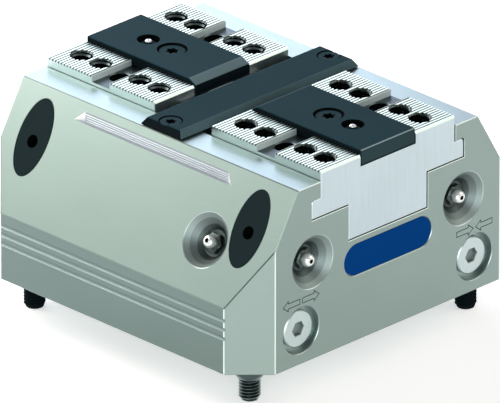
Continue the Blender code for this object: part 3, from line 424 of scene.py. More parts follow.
steels = {
    "bodySteel": {"color": (0.281, 0.36, 0.335)},
    # painted shade: the long side faces and the tops of their grooves, darker than the same steel elsewhere
    "bodyFlank": {"color": (0.169, 0.23, 0.215)},
    "bodyBreak": {"color": (0.26, 0.34, 0.315)},
    # painted shade on the broken edges that face along X and on the edge between top and slope
    "bodyCorner": {"color": (0.13, 0.165, 0.155)},
    # painted highlight on the upright broken edges of the corner chamfers
    "brightEdge": {"color": (0.74, 0.86, 0.83)},
    # painted light: the lower faces of the side grooves, lighter and rougher than the flank
    "sideGroove": {"color": (0.3, 0.385, 0.376), "roughness": 0.6},
    # painted light: the ledge's back wall, lighter and bluer than the flank that faces the same way
    "ledge": {"color": (0.3, 0.345, 0.37)},
    # painted light on the ledge's floor
    "ledgeFloor": {"color": (0.46, 0.52, 0.58), "metallic": 0.3, "roughness": 0.6},
    # painted highlight on the flared ends of the ledge
    "ledgeFlare": {"color": (0.95, 0.97, 0.96), "metallic": 0.6},
    # painted highlight on the rims of the nipple recesses and on the chamfers where the jaw guide opens
    "recessRim": {"color": (0.48, 0.57, 0.55)},
    # painted shade in the nipple recesses, in three rings that darken towards the nipple: this outer one, the
    # middle one and the deepest one
    "recess": {"color": (0.27, 0.335, 0.325), "roughness": 0.6},
    "recessMiddle": {"color": (0.17, 0.215, 0.21), "roughness": 0.55},
    "recessDark": {"color": (0.075, 0.1, 0.097), "roughness": 0.45},
    # painted light on the walls of the port counterbores
    "portSink": {"color": (0.34, 0.41, 0.4)},
    "jawSteel": {"color": (0.53, 0.63, 0.66), "contrast": 0.08},
    "tooth": {"color": (0.62, 0.755, 0.705)},
    # painted shade on the lower flanks of the teeth
    "toothRoot": {"color": (0.1, 0.135, 0.13)},
    # painted shade in the jaws' cross slot and middle groove
    "slot": {"color": (0.075, 0.1, 0.105), "roughness": 0.4},
    # painted light on the walls and chamfers of the cross slot
    "slotWall": {"color": (0.5, 0.6, 0.6), "metallic": 0.4, "roughness": 0.6},
    # painted shade on the walls and mouths of the jaws' threaded holes
    "holeRim": {"color": (0.1, 0.135, 0.14)},
    "hookSteel": {"color": (0.52, 0.53, 0.54)},
    "nippleSteel": {"color": (0.85, 0.89, 0.87), "metallic": 0.7, "roughness": 0.34},
    # painted shade on the nipples' hex base and in the small nipples' hole
    "nippleShank": {"color": (0.08, 0.105, 0.1), "roughness": 0.4},
    # dark, with a painted sheen towards its outline
    "sleeve": {"color": (0.07, 0.1, 0.1), "roughness": 0.3,
               "paintedSheen": (0.4, 0.5, 0.5), "paintedSheenFrom": (0.45, 0.95)},
    # black, with a painted sheen towards its outline
    "screw": {"color": (0.025, 0.038, 0.038), "roughness": 0.3,
              "paintedSheen": (0.85, 0.95, 0.95), "paintedSheenFrom": (0.3, 0.8)},
    "plugSteel": {"color": (0.56, 0.66, 0.65), "roughness": 0.42},
    # painted shade in the port plugs' hex sockets
    "socket": {"color": (0.24, 0.29, 0.28), "roughness": 0.5},
    "piston": {"color": (0.75, 0.76, 0.77)},
}
coats = {
    "blackCover": {"color": (0.008, 0.034, 0.043)},
    # painted light on the left plate's bevel
    "plateBevel": {"color": (0.112, 0.17, 0.187)},
    # painted shade on the right plate's bevel
    "plateBevelDim": {"color": (0.012, 0.037, 0.045)},
    # painted light on the plates' outer end faces
    "plateEnd": {"color": (0.027, 0.052, 0.059)},
    # painted highlight on the broken edges at the plates' outer end
    "coverCorner": {"color": (0.27, 0.34, 0.36)},
    # painted shade: near black for the plates' sides, the bridge's ends and the screws in shadow
    "coverSide": {"color": (0.004, 0.008, 0.01)},
    # painted light on the bridge's sloped long faces
    "bridgeEdge": {"color": (0.061, 0.106, 0.12)},
    "starHead": {"color": (0.012, 0.037, 0.045)},
    "capPlastic": {"color": (0.012, 0.023, 0.025)},
    "sealRubber": {"color": (0.015, 0.015, 0.015), "roughness": 0.75},
    "badgeBlue": {"color": (0.0, 0.044, 0.2), "contrast": 0.03, "bump": 0.05},
    # painted shade: near black inside holes, recesses and engraved lines
    "holeDark": {"color": (0.002, 0.003, 0.003), "roughness": 0.8},
}
finishes = {name: brushedSteel(name + "Look", {**steelLook, **look}) for name, look in steels.items()}
finishes.update({name: satinCoat(name + "Look", {**coatLook, **look}) for name, look in coats.items()})
print("finishes made:", len(finishes))

# Body

body = {
    "sideHeight": 26.1,
    "slopeAngle": math.radians(60),
    "cornerChamfer": 13,
    "edge": 0.28,
    "grooves": 3,
    "grooveTop": 21.3,
    "groovePitch": 3.55,
    "grooveWidth": 1.6,
    "grooveDepth": 0.5,
    "ledgeDrop": 6.5,
    "ledgeDepth": 2.1,
    "ledgeFromEnd": 33.6,
    "ledgeFlare": math.radians(60),
    "ledgeFillet": 0.4,
    "ledgeLines": 3,
    "ledgeLinePitch": 0.9,
    "ledgeLine": 0.2,  # half the width and the depth of a tool line
    "neckHalf": 34.2,
    "neckHeight": 6.2,
    "flangeReach": 4.5,
    "flangeHeight": 7.8,
    "flangeCorner": 1.2,
    "tongueHalf": 20.1,
    "tongueHeight": 14,
    "guideChamfer": 0.18,
}
bodyHigh = boxOf("body")[1]
halfLength, halfWidth, bodyTop = bodyHigh
slopeNormal = Vector((0, -math.sin(body["slopeAngle"]), math.cos(body["slopeAngle"])))
slopeDown = Vector((0, -math.cos(body["slopeAngle"]), -math.sin(body["slopeAngle"])))


def slopeY(z):
    return halfWidth - (z - body["sideHeight"]) / math.tan(body["slopeAngle"])


def slopeZ(y):
    return body["sideHeight"] + (halfWidth - y) * math.tan(body["slopeAngle"])


topHalf = slopeY(bodyTop)
seatZ = bodyTop - body["neckHeight"] - body["flangeHeight"]  # underside of the guide's arms
ledgeFloor = bodyTop - body["ledgeDrop"]
ledgeBack = slopeY(ledgeFloor) - body["ledgeDepth"]


def guideOutline(clearance, top):
    neck = body["neckHalf"] - clearance
    flange = body["neckHalf"] + body["flangeReach"] - clearance
    tongue = body["tongueHalf"] - clearance
    shoulder = bodyTop - body["neckHeight"] - clearance
    seat = seatZ + clearance
    floor = seatZ - body["tongueHeight"] + clearance
    corner = body["flangeCorner"]
    rounded = arc((flange - corner, shoulder - corner), corner, 0, 90, 8)
    right = [(tongue, floor), (tongue, seat), (flange, seat), *rounded, (neck, shoulder), (neck, top)]
    return right + [(-y, z) for y, z in reversed(right)]


def blockBm():
    right = [(halfWidth, 0), (halfWidth, body["sideHeight"]), (topHalf, bodyTop)]
    section = right + [(-y, z) for y, z in reversed(right)]
    bm = prism(bmesh.new(), section, "X", [(-halfLength, 0), (halfLength, 0)])
    for x in (-1, 1):
        for y in (-1, 1):
            corner = Vector((x * halfLength, y * (halfWidth - body["cornerChamfer"]), 0))
            cutPlane(bm, corner, Vector((x, y, 0)).normalized())
    breakEdges(bm, body["edge"], 5, 1)
    return bm


def guideCutter():
    chamfer = body["guideChamfer"]
    end = halfLength - chamfer
    flare = chamfer + past
    stations = [(-end - flare, flare), (-end, 0), (end, 0), (end + flare, flare)]
    return prism(bmesh.new(), guideOutline(0, bodyTop + past), "X", stations)


def grooveCutter():
    bm = bmesh.new()
    half = body["grooveWidth"] / 2
    depth = body["grooveDepth"]
    radius = (half ** 2 + depth ** 2) / (2 * depth)
    spread = math.degrees(math.asin(half / radius))
    end = halfLength + past
    for side in (-1, 1):
        for i in range(body["grooves"]):
            z = body["grooveTop"] - i * body["groovePitch"]
            inner = arc((halfWidth - depth + radius, z), radius, 180 - spread, 180 + spread, 12)
            outline = [(halfWidth + past, z + half), *inner, (halfWidth + past, z - half)]
            prism(bm, [(side * y, z) for y, z in outline], "X", [(-end, 0), (end, 0)])
    return bm


def ledgeCutter():
    # upright back wall with tool lines, level floor with a small fillet, and flared ends
    top = slopeZ(ledgeBack) + past
    front = slopeY(ledgeFloor) + past
    half = halfLength - body["ledgeFromEnd"]
    fillet = body["ledgeFillet"]
    line = body["ledgeLine"]
    bm = bmesh.new()
    for side in (-1, 1):
        profile = [(ledgeBack, top)]
        for i in range(body["ledgeLines"], 0, -1):
            z = ledgeFloor + i * body["ledgeLinePitch"]
            profile += [(ledgeBack, z + line), (ledgeBack - line, z), (ledgeBack, z - line)]
        profile += arc((ledgeBack + fillet, ledgeFloor + fillet), fillet, 180, 270, 8)
        profile += [(front, ledgeFloor), (front, top)]
        flare = math.tan(body["ledgeFlare"])
        loft(bm, [[(end * (half + max(y - ledgeBack, 0) * flare), side * y, z) for y, z in profile]
                  for end in (-1, 1)])
    return bm


mounting = {
    "fromEnd": 15,
    "fromSide": 15,
    "seat": 9.9,
    "counterbore": 7.5,
    "hole": 4.6,
    "sleeveSeat": 6.3,
    "sleeveDepth": 7.3,
    "chamfer": 0.4,
}
mountX = halfLength - mounting["fromEnd"]
mountY = halfWidth - mounting["fromSide"]
screwPlaces = {
    "front": (mountX, -mountY),
    "left": (-mountX, -mountY),
    "right": (mountX, mountY),
    "rear": (-mountX, mountY),
}


def mountingCutter():
    bm = bmesh.new()
    hole = mounting["hole"]
    counterbore = mounting["counterbore"]
    top = slopeZ(mountY - counterbore) + past
    lip = mounting["chamfer"]
    for name, (x, y) in screwPlaces.items():
        sleeved = name in ("front", "rear")
        mouth = mounting["sleeveSeat"] if sleeved else hole
        rings = [(mouth + lip + past, -past), (mouth, lip)]
        if sleeved:
            rings += [(mouth, mounting["sleeveDepth"]), (hole, mounting["sleeveDepth"])]
        rings += [(hole, mounting["seat"]), (counterbore, mounting["seat"]), (counterbore, top)]
        lathe(bm, rings, 72, shift(x, y))
    return bm


nipple = {
    "endFromSide": 31.8,
    "endDrop": 16.2,  # below the arms of the guide
    "slopeFromEnd": 32.3,
    "slopeRise": 20.1,
    "recess": 10.3,
    "shadeRadii": (6.7, 8.6),  # radii where the recess's painted shade turns lighter
    "recessFloor": 5,
    "recessDepth": 5.6,
    "rim": 0.16,
    "hex": 3.5,
    "ball": 2.45,
    "neck": 1.8,
    "tip": 0.7,  # below the face
    "hole": 0.85,
}
slopeFoot = Vector((halfLength - nipple["slopeFromEnd"], -halfWidth, body["sideHeight"]))
nippleY = halfWidth - nipple["endFromSide"]
nippleZ = seatZ - nipple["endDrop"]
nipplePlaces = {
    "end_front": faceFrame((halfLength, -nippleY, nippleZ), (1, 0, 0)),
    "end_right": faceFrame((halfLength, nippleY, nippleZ), (1, 0, 0)),
    "slope_front": faceFrame(slopeFoot - nipple["slopeRise"] * slopeDown, slopeNormal),
}
for seen, hidden in (("end_front", "end_rear"), ("end_right", "end_left"), ("slope_front", "slope_rear")):
    nipplePlaces[hidden] = halfTurn @ nipplePlaces[seen]


def nippleCutter():
    bm = bmesh.new()
    rim = nipple["rim"]
    outer = nipple["recess"]
    slant = (outer - nipple["recessFloor"]) / nipple["recessDepth"]
    for matrix in nipplePlaces.values():
        lathe(bm, [
            (nipple["recessFloor"], -nipple["recessDepth"]),
            *[(tone, (tone - outer) / slant) for tone in nipple["shadeRadii"]],
            (outer - slant * rim, -rim), (outer + 1.5 * rim, 0.5 * rim), (outer + 1.5 * rim, past),
        ], 96, matrix)
    return bm


port = {
    "fromSide": 26,
    "z": 13.4,
    "sink": 9.05,
    "sinkDepth": 3.3,
    "rim": 0.2,
    "plug": 7.1,
    "plugSet": 1.45,
    "plugChamfer": 0.45,
    "hex": 2.5,
}
portY = halfWidth - port["fromSide"]
portPlaces = {
    "open": faceFrame((halfLength, -portY, port["z"]), (1, 0, 0)),
    "close": faceFrame((halfLength, portY, port["z"]), (1, 0, 0)),
}


def portCutter():
    sink = port["sink"]
    rim = port["rim"]
    bm = bmesh.new()
    for matrix in portPlaces.values():
        lathe(bm, [(sink, -port["sinkDepth"]), (sink, -rim), (sink + rim + past, past)], 96, matrix)
    return bm


badge = {
    "length": 44,
    "height": 12,
    "z": 32,
    "gap": 0.15,
    "pocket": 0.5,
    "set": 0.08,  # face below the body's end
    "edge": 0.15,
    "rim": 0.25,
}


def badgeOutline():
    radius = badge["height"] / 2
    reach = badge["length"] / 2 - radius
    return arc((reach, badge["z"]), radius, -90, 90, 24) + arc((-reach, badge["z"]), radius, 90, 270, 24)


def badgeCutter():
    rim = badge["rim"]
    stations = [(halfLength - badge["pocket"], 0), (halfLength - rim, 0), (halfLength + past, rim + past)]
    return prism(bmesh.new(), offset(badgeOutline(), badge["gap"]), "X", stations)


arrows = {
    "z": 24.9,
    "near": 0.65,  # from the middle of a pair to an arrow's nearer end
    "far": 9.05,
    "head": 2.55,
    "height": 4,
    "shaft": 2,
    "line": 0.28,
    "depth": 0.25,
}


def arrowOutline(tipY, tailY, z):
    # a hollow arrow from its tail to its tip
    neck = tipY + math.copysign(arrows["head"], tailY - tipY)
    half = arrows["height"] / 2
    shaft = arrows["shaft"] / 2
    return [(tipY, z), (neck, z + half), (neck, z + shaft), (tailY, z + shaft),
            (tailY, z - shaft), (neck, z - shaft), (neck, z - half)]


def arrowCutters():
    # engraved outlines: what lies between the outline grown and shrunk by half the line
    cutters = []
    deep = halfLength - arrows["depth"]
    proud = halfLength + past
    for side in (-1, 1):
        for way in (-1, 1):
            near = side * portY + way * arrows["near"]
            far = side * portY + way * arrows["far"]
            tip, tail = (far, near) if side < 0 else (near, far)
            outline = arrowOutline(tip, tail, arrows["z"])
            outer = offset(outline, arrows["line"] / 2)
            inner = offset(outline, -arrows["line"] / 2)
            rings = [[(x, y, z) for y, z in ring] for x, ring in
                     ((deep, outer), (proud, outer), (proud, inner), (deep, inner))]
            cutters.append(loft(bmesh.new(), rings, closed=True))
    return cutters


coverHigh = boxOf("cylinder_cover")[1]
cover = {
    "gap": 0.3,
    "recess": 8,
    "flange": 7.7,
    "screws": 4,
    "land": 11.7,
    "sink": 4.7,
    "sinkDepth": 5.5,
    "sinkEdge": 0.3,
    "edge": 0.4,
}


def coverCutter():
    radius = coverHigh.x + cover["gap"]
    edge = cover["edge"]
    return lathe(bmesh.new(), [(radius + past + edge, -past), (radius, edge), (radius, cover["recess"])], 128)


def inRecess(low, high):
    # a test for faces of the nipple recesses between two radii
    def test(point, normal):
        for matrix in nipplePlaces.values():
            local = matrix.inverted() @ point
            if abs(local.z) < nipple["recessDepth"] + 0.1 and low < local.xy.length < high:
                return abs((matrix.to_3x3().inverted() @ normal).z) < 0.99 or local.z < -1
        return False
    return test


def makeBody():
    thing = meshFrom("body_block", blockBm(), "bodySteel", "bodyBreak")
    # painted highlight on the upright broken edges of the corner chamfers
    upright = math.radians(22.5)  # way of the broken edges at the corner chamfers
    paint(thing, "brightEdge", lambda point, normal: abs(normal.z) < 0.1 and math.isclose(
        abs(normal.x) + abs(normal.y), math.sin(upright) + math.cos(upright), abs_tol=0.05))
    # painted shade on the broken edges that face along X and on the edge between top and slope
    paint(thing, "bodyCorner", lambda point, normal: abs(normal.x) > 0.3 and abs(normal.z) > 0.1
          or abs(normal.x) < 0.1 and 0.7 < normal.z < 0.95)
    carve(thing, [guideCutter(), mountingCutter(), badgeCutter(), coverCutter()])
    # painted shade on the long side faces
    paint(thing, "bodyFlank", lambda point, normal: abs(normal.y) > 0.99 and abs(point.y) > halfWidth - 0.1)
    # painted light on the faces of the side grooves; their tops get painted shade below
    carve(thing, [grooveCutter()], "sideGroove")
    # painted shade on the downward faces at the tops of the grooves
    inGroove = halfWidth - body["grooveDepth"] - 0.1
    paint(thing, "bodyFlank", lambda point, normal: normal.z < -0.25 and abs(point.y) > inGroove
          and point.z > body["cornerChamfer"])
    # the ledge's cut faces take a painted light tone
    carve(thing, [ledgeCutter()], "ledge")
    carve(thing, [nippleCutter()], "recess")
    # painted light on the walls of the port counterbores
    carve(thing, [portCutter()], "portSink")
    # painted shade in the engraved arrow lines
    carve(thing, arrowCutters(), "holeDark")
    rimWidth = 2 * nipple["rim"]
    # painted shade in the nipple recesses, in rings that darken towards the nipple
    paint(thing, "recessDark", inRecess(-1, nipple["shadeRadii"][0]))
    paint(thing, "recessMiddle", inRecess(*nipple["shadeRadii"]))
    # painted highlight on the rims of the nipple recesses
    paint(thing, "recessRim", inRecess(nipple["recess"] - rimWidth, nipple["recess"] + rimWidth))
    # painted highlight on the chamfers where the jaw guide opens in the ends
    guideHalf = body["neckHalf"] + body["flangeReach"] + 1
    guideFloor = seatZ - body["tongueHeight"] - 1
    paint(thing, "recessRim", lambda point, normal: abs(point.x) > halfLength - body["guideChamfer"] - 0.1
          and abs(point.y) < guideHalf and point.z > guideFloor and 0.3 < abs(normal.x) < 0.95)
    # painted light on the ledge's floor
    paint(thing, "ledgeFloor", lambda point, normal: abs(point.z - ledgeFloor) < 0.05 and normal.z > 0.9
          and abs(point.y) > ledgeBack - 1)
    # painted highlight on the flared ends of the ledge
    paint(thing, "ledgeFlare", lambda point, normal: point.z > ledgeFloor and abs(point.y) > ledgeBack - 1
          and 0.3 < abs(normal.x) < 0.95 and abs(normal.z) < 0.1)
    addPiece(thing, "housing", "body", 13)


def makeBadge():
    face = halfLength - badge["set"]
    edge = badge["edge"]
    stations = [(halfLength - badge["pocket"] + 0.05, 0), (face - edge, 0), (face, -edge)]
    bm = prism(bmesh.new(), badgeOutline(), "X", stations)
    addPiece(meshFrom("name_badge", bm, "badgeBlue"), "housing", None)


# Base jaws

jaw = {
    "clearance": 0.3,
    "toothPitch": 1.5,
    "toothTip": 0.45,
    "toothAngle": math.radians(60),
    "toothRoot": 0.06,  # half of the flat at the bottom of a groove
    "flankShadeStart": 0.2,  # depth below the crests where the flanks' painted shade starts
    "slotWidth": 9,
    "slotDepth": 2.5,
    "slotChamfer": 0.25,
    "grooveHalf": 14,
    "grooveDepth": 4.5,
    "hole": 4.05,
    "holeDepth": 14,
    "holePitch": 10,
    "holePairs": 2,
    "holeRow": 23.95,
    "holeMouth": 0.3,
    "holeTop": 0.35,  # rim of the holes in the pads, below their tops
    "shadeFrom": 1.7,  # below the pads' tops, where the holes' painted shade turns black
    "threadCrest": 3.4,
    "threadPitch": 1.25,
    "edge": 0.25,
    "hookGap": 0.3,  # to the wedge hook
    "hookX": 13.2,  # where its room ends at the top
    "hookSlope": 1 / 3,
}
jawLow, jawHigh = boxOf("jaw_right")
jawMiddle = (jawLow.x + jawHigh.x) / 2
padTop = jawHigh.z
acrossJaw = [(-body["neckHalf"] - past, 0), (body["neckHalf"] + past, 0)]
holeSpots = [(jawMiddle + i * jaw["holePitch"], side * jaw["holeRow"], i == 0)
             for side in (-1, 1) for i in range(-jaw["holePairs"], jaw["holePairs"] + 1)]


def jawBlank():
    edge = jaw["edge"]
    stations = [(jawLow.x, -edge), (jawLow.x + edge, 0), (jawHigh.x - edge, 0), (jawHigh.x, -edge)]
    return prism(bmesh.new(), guideOutline(jaw["clearance"], padTop + past), "X", stations)


def toothCutter():
    pitch = jaw["toothPitch"]
    tip = jaw["toothTip"] / 2
    root = jaw["toothRoot"]
    shadeStart = jaw["flankShadeStart"]
    lean = math.tan(jaw["toothAngle"] / 2)
    depth = (pitch / 2 - tip) / lean
    tooth = [(-tip, 0), (tip, 0), (tip + shadeStart * lean, -shadeStart), (pitch / 2 - root, -depth),
             (pitch / 2 + root, -depth), (pitch - tip - shadeStart * lean, -shadeStart)]
    count = math.ceil((jawHigh.x - jawLow.x) / 2 / pitch) + 1
    comb = [(jawMiddle + i * pitch + x, padTop + z) for i in range(-count, count) for x, z in tooth]
    outline = comb[:-1] + [(comb[-2][0], padTop + 2 * past), (comb[0][0], padTop + 2 * past)]
    return prism(bmesh.new(), outline, "Y", acrossJaw)


def jawSlotCutters():
    top = padTop + 2 * past
    half = jaw["grooveHalf"]
    floor = padTop - jaw["grooveDepth"]
    outline = [(-half, floor), (half, floor), (half, top), (-half, top)]
    groove = prism(bmesh.new(), outline, "X", [(jawLow.x - past, 0), (jawHigh.x + past, 0)])
    half = jaw["slotWidth"] / 2
    lip = jaw["slotChamfer"]
    right = [(half, padTop - jaw["slotDepth"]), (half, padTop - lip), (half + lip + past, padTop + past)]
    outline = [(jawMiddle + x, z) for x, z in right] + [(jawMiddle - x, z) for x, z in reversed(right)]
    return [groove, prism(bmesh.new(), outline, "Y", acrossJaw)]


def jawHoleCutter():
    bm = bmesh.new()
    lip = jaw["holeMouth"]
    for x, y, inSlot in holeSpots:
        top = padTop - (jaw["slotDepth"] if inSlot else jaw["holeTop"])
        radius = jaw["hole"]
        bottom = padTop - jaw["holeDepth"]
        lathe(bm, [
            (0, bottom - 1.5), (radius, bottom), (radius, top - lip),
            (radius + lip, top), (radius + lip, padTop + past),
        ], 48, shift(x, y))
    return bm


def wedgeFaceCutter():
    # room for the wedge hook at the jaw's inner end
    low = jawLow.z - past
    high = boxOf("wedge_hook")[1].z + jaw["hookGap"]
    inside = jawLow.x - past
    top = jaw["hookX"]
    outline = [(inside, low), (top + (high - low) * jaw["hookSlope"], low), (top, high), (inside, high)]
    return prism(bmesh.new(), outline, "Y", [(-body["tongueHalf"], 0), (body["tongueHalf"], 0)])


def inHole(point, below):
    # on the wall or the thread of one of the jaw's holes, further down than a distance
    near = any(math.hypot(point.x - x, point.y - y) < jaw["hole"] + 0.02 for x, y, inSlot in holeSpots)
    return near and point.z < padTop - below and abs(point.z - padTop + jaw["slotDepth"]) > 0.02


def makeJaws():
    thing = meshFrom("base_jaw_right", jawBlank(), "jawSteel")
    carve(thing, [wedgeFaceCutter()])
    carve(thing, [toothCutter()], "tooth")
    # painted shade on the lower flanks of the teeth, below their lit upper part
    lastCrest = (jawHigh.x - jawLow.x - jaw["toothPitch"]) / 2
    paint(thing, "toothRoot", lambda point, normal: padTop - 1 < point.z < padTop - jaw["flankShadeStart"] - 0.05
          and abs(normal.y) < 0.1 and abs(normal.x) > 0.5 and abs(normal.z) > 0.1
          and abs(point.x - jawMiddle) < lastCrest)
    # painted shade in the cross slot and the middle groove
    carve(thing, jawSlotCutters(), "slot")
    # painted light on the walls and chamfers of the cross slot
    slotEdge = jaw["slotWidth"] / 2 + 0.4
    paint(thing, "slotWall", lambda point, normal: abs(normal.x) > 0.3 and point.z > padTop - jaw["slotDepth"]
          and abs(point.x - jawMiddle) < slotEdge)
    # painted shade on the walls and mouths of the holes
    carve(thing, [jawHoleCutter()], "holeRim")
    threads = bmesh.new()
    threads.from_mesh(thing.data)
    for x, y, inSlot in holeSpots:
        top = padTop - (jaw["slotDepth"] if inSlot else 0) - 0.5
        bottom = padTop - jaw["holeDepth"] + 0.5
        thread(threads, jaw["hole"] + 0.03, jaw["threadCrest"], jaw["threadPitch"], bottom, top, shift(x, y))
    threads.to_mesh(thing.data)
    threads.free()
    # painted shade on the walls and threads of the holes, turning black further down
    paint(thing, "holeRim", lambda point, normal: inHole(point, 0.5))
    paint(thing, "holeDark", lambda point, normal: inHole(point, jaw["shadeFrom"]))
    addJawPair(thing, "base_jaw", "jaw")


# Jaw cover plates and the centre bridge

plate = {
    "bevelLength": 3.2,
    "bevelHeight": 1.6,
    "edge": 0.3,
    "screwFromEnd": 30,
    "screwSink": 5.55,
    "screwSinkFrom": 2.8,  # foot and top of its cone, below the plate's top
    "screwSinkTo": 0.5,
    "screwHole": 3.3,
    "screwHead": 4.8,
    "screwShank": 3,
    "screwLength": 16,
    "screwSet": 0.6,
    "nippleFromEnd": 17.8,
    "nippleRecess": 4.1,
}
plateLow, plateHigh = boxOf("jaw_cover_plate_right")
plateScrewX = jawHigh.x - plate["screwFromEnd"]
plateNippleX = jawHigh.x - plate["nippleFromEnd"]


def sunkHole(bm, sizes, low, top, spot, segments):
    # room for a countersunk screw, with a broken edge at its mouth
    hole = sizes["screwHole"]
    sink = sizes["screwSink"]
    lathe(bm, [
        (hole, low - past), (hole, top - sizes["screwSinkFrom"]), (sink, top - sizes["screwSinkTo"]),
        (sink, top - 0.1), (sink + 0.15, top + 0.05), (sink + 0.15, top + past),
    ], segments, shift(*spot))


def makePlates():
    low = plateLow.z
    top = plateHigh.z
    outline = [(plateLow.x, low), (plateHigh.x, low), (plateHigh.x, top),
               (plateLow.x + plate["bevelLength"], top), (plateLow.x, top - plate["bevelHeight"])]
    bm = prism(bmesh.new(), outline, "Y", [(plateLow.y, 0), (plateHigh.y, 0)])
    breakEdges(bm, plate["edge"])
    thing = meshFrom("cover_plate_right", bm, "blackCover")
    # painted shade on the bevel at the plate's inner end
    paint(thing, "plateBevelDim", lambda point, normal: -0.95 < normal.x < -0.2 and abs(normal.y) < 0.1)
    # painted highlight on the broken edges at the plate's outer end
    paint(thing, "coverCorner", lambda point, normal: 0.2 < normal.x < 0.95 and normal.z > 0.2)
    # painted light on the plate's outer end face
    paint(thing, "plateEnd", lambda point, normal: normal.x > 0.95)
    # painted shade on the plate's long sides and inner end
    paint(thing, "coverSide", lambda point, normal: abs(normal.y) > 0.9 or normal.x < -0.95)
    bm = bmesh.new()
    sunkHole(bm, plate, low, top, (plateScrewX, 0), 72)
    sink = plate["nippleRecess"]
    lathe(bm, [(sink, low - past), (sink, top - 0.15), (sink + 0.2, top + 0.05), (sink + 0.2, top + past)],
          72, shift(plateNippleX, 0))
    # painted shade in the plate's screw and nipple recesses
    carve(thing, [bm], "holeDark")
    # the left plate's bevel takes the painted light, the right one keeps the painted shade
    twin = addJawPair(thing, "cover_plate", "jaw_cover_plate", 13)
    twin.data.materials[twin.data.materials.find(finishes["plateBevelDim"].name)] = finishes["plateBevel"]


bridge = {
    "base": 20.4,
    "crest": 16.3,
    "edge": 0.25,
    "screwInset": 5.5,
    "screwSink": 4.35,
    "screwSinkFrom": 2.4,
    "screwSinkTo": 0.3,
    "screwHole": 2.3,
    "screwHead": 4,
    "screwShank": 2,
    "screwLength": 8,
    "screwSet": 0.3,
}
bridgeLow, bridgeHigh = boxOf("centre_bridge")
bridgeScrewY = topHalf - bridge["screwInset"]


def makeBridge():
    low = bridgeLow.z
    top = bridgeHigh.z
    foot = bridge["base"] / 2
    crest = bridge["crest"] / 2
    outline = [(-foot, low), (foot, low), (crest, top), (-crest, top)]
    bm = prism(bmesh.new(), outline, "Y", [(-halfWidth, 0), (halfWidth, 0)])
    cutPlane(bm, Vector((0, -slopeY(low), low)), slopeNormal)
    cutPlane(bm, Vector((0, slopeY(low), low)), halfTurn.to_3x3() @ slopeNormal)
    breakEdges(bm, bridge["edge"])
    thing = meshFrom("bridge_bar", bm, "blackCover")
    # painted light on the sloped long faces
    paint(thing, "bridgeEdge", lambda point, normal: abs(normal.x) > 0.4 and normal.z > 0.2)
    # painted shade on the bridge's ends
    paint(thing, "coverSide", lambda point, normal: abs(normal.y) > 0.5)
    bm = bmesh.new()
    for side in (-1, 1):
        sunkHole(bm, bridge, low, top, (0, side * bridgeScrewY), 64)
    # painted shade in the screw recesses
    carve(thing, [bm], "holeDark")
    addPiece(thing, "housing", "centre_bridge", 13)


# Screws

star = {
    "reach": 0.52,  # of the head's radius
    "depth": 0.42,
    "lip": 0.12,
    "waist": 0.96,  # of the reach, at the bottom
    "pit": 0.3,
}


def starScrew(name, sizes):
    # countersunk screw with a star recess, its origin at the top of the head
    head = sizes["screwHead"]
    shank = sizes["screwShank"]
    reach = head * star["reach"]
    depth = head * star["depth"]
    bm = lathe(bmesh.new(), [
        (shank, -sizes["screwLength"]), (shank, -(head - shank) - 0.3), (head, -0.3), (head, -0.1),
        (head - 0.1, 0), (reach + star["lip"], 0, "star"), (reach, -0.15, "star"),
        (reach * star["waist"], -depth, "star"), (reach * star["pit"], -depth - 0.4),
    ], 96)
    thing = meshFrom(name, bm, "starHead")
    # painted shade inside the star recess
    paint(thing, "holeDark", lambda point, normal: point.xy.length < reach + 0.05 and point.z < -0.1)
    return thing


def makeStarScrews():
    top = bridgeHigh.z - bridge["screwSet"]
    places = {"front": shift(0, -bridgeScrewY, top), "rear": shift(0, bridgeScrewY, top)}
    thing = starScrew("bridge_star_screw_front", bridge)
    addSet(thing, "bridge_star_screw_", "bridge_screw_", places)
    thing = starScrew("plate_star_screw_right", plate)
    thing.data.transform(shift(plateScrewX, 0, plateHigh.z - plate["screwSet"]))
    addJawPair(thing, "plate_star_screw", "plate_screw")


mountingScrew = {
    "radius": 4,
    "core": 3.35,
    "pitch": 1.25,
    "head": 6.5,
    "headHeight": 8,
    "hex": 3,
    "length": 25,
    "plain": 7.8,  # smooth shank below the head
    "gap": 0.3,  # under the head
}


def makeMountingScrews():
    core = mountingScrew["core"]
    radius = mountingScrew["radius"]
    head = mountingScrew["head"]
    height = mountingScrew["headHeight"]
    hexagon = mountingScrew["hex"]
    tip = -mountingScrew["length"]
    threadTop = -mountingScrew["plain"]
    bm = lathe(bmesh.new(), [
        (core - 0.3, tip), (core, tip + 0.4), (core, threadTop - 0.6), (radius, threadTop),
        (radius, 0), (head, 0), (head, height - 0.5), (head - 0.5, height), (hexagon + 0.2, height, "hex"),
        (hexagon, height - 0.3, "hex"), (hexagon, height / 2, "hex"), (0, height / 2 - 1),
    ], 60)
    thread(bm, core - 0.03, radius, mountingScrew["pitch"], tip + 0.1, threadTop + 0.5, Matrix())
    thing = meshFrom("socket_screw_front", bm, "screw")
    seat = mounting["seat"] + mountingScrew["gap"]
    places = {name: shift(x, y, seat) for name, (x, y) in screwPlaces.items()}
    # the other mounting screws take a painted shade
    for twin in addSet(thing, "socket_screw_", "mounting_screw_", places):
        twin.data.materials[0] = finishes["coverSide"]


sleeve = {
    "radius": 6,
    "bore": 4.4,
    "short": 0.6,  # less than the solid sleeve
    "taper": 2.1,
    "nose": 4.6,
}


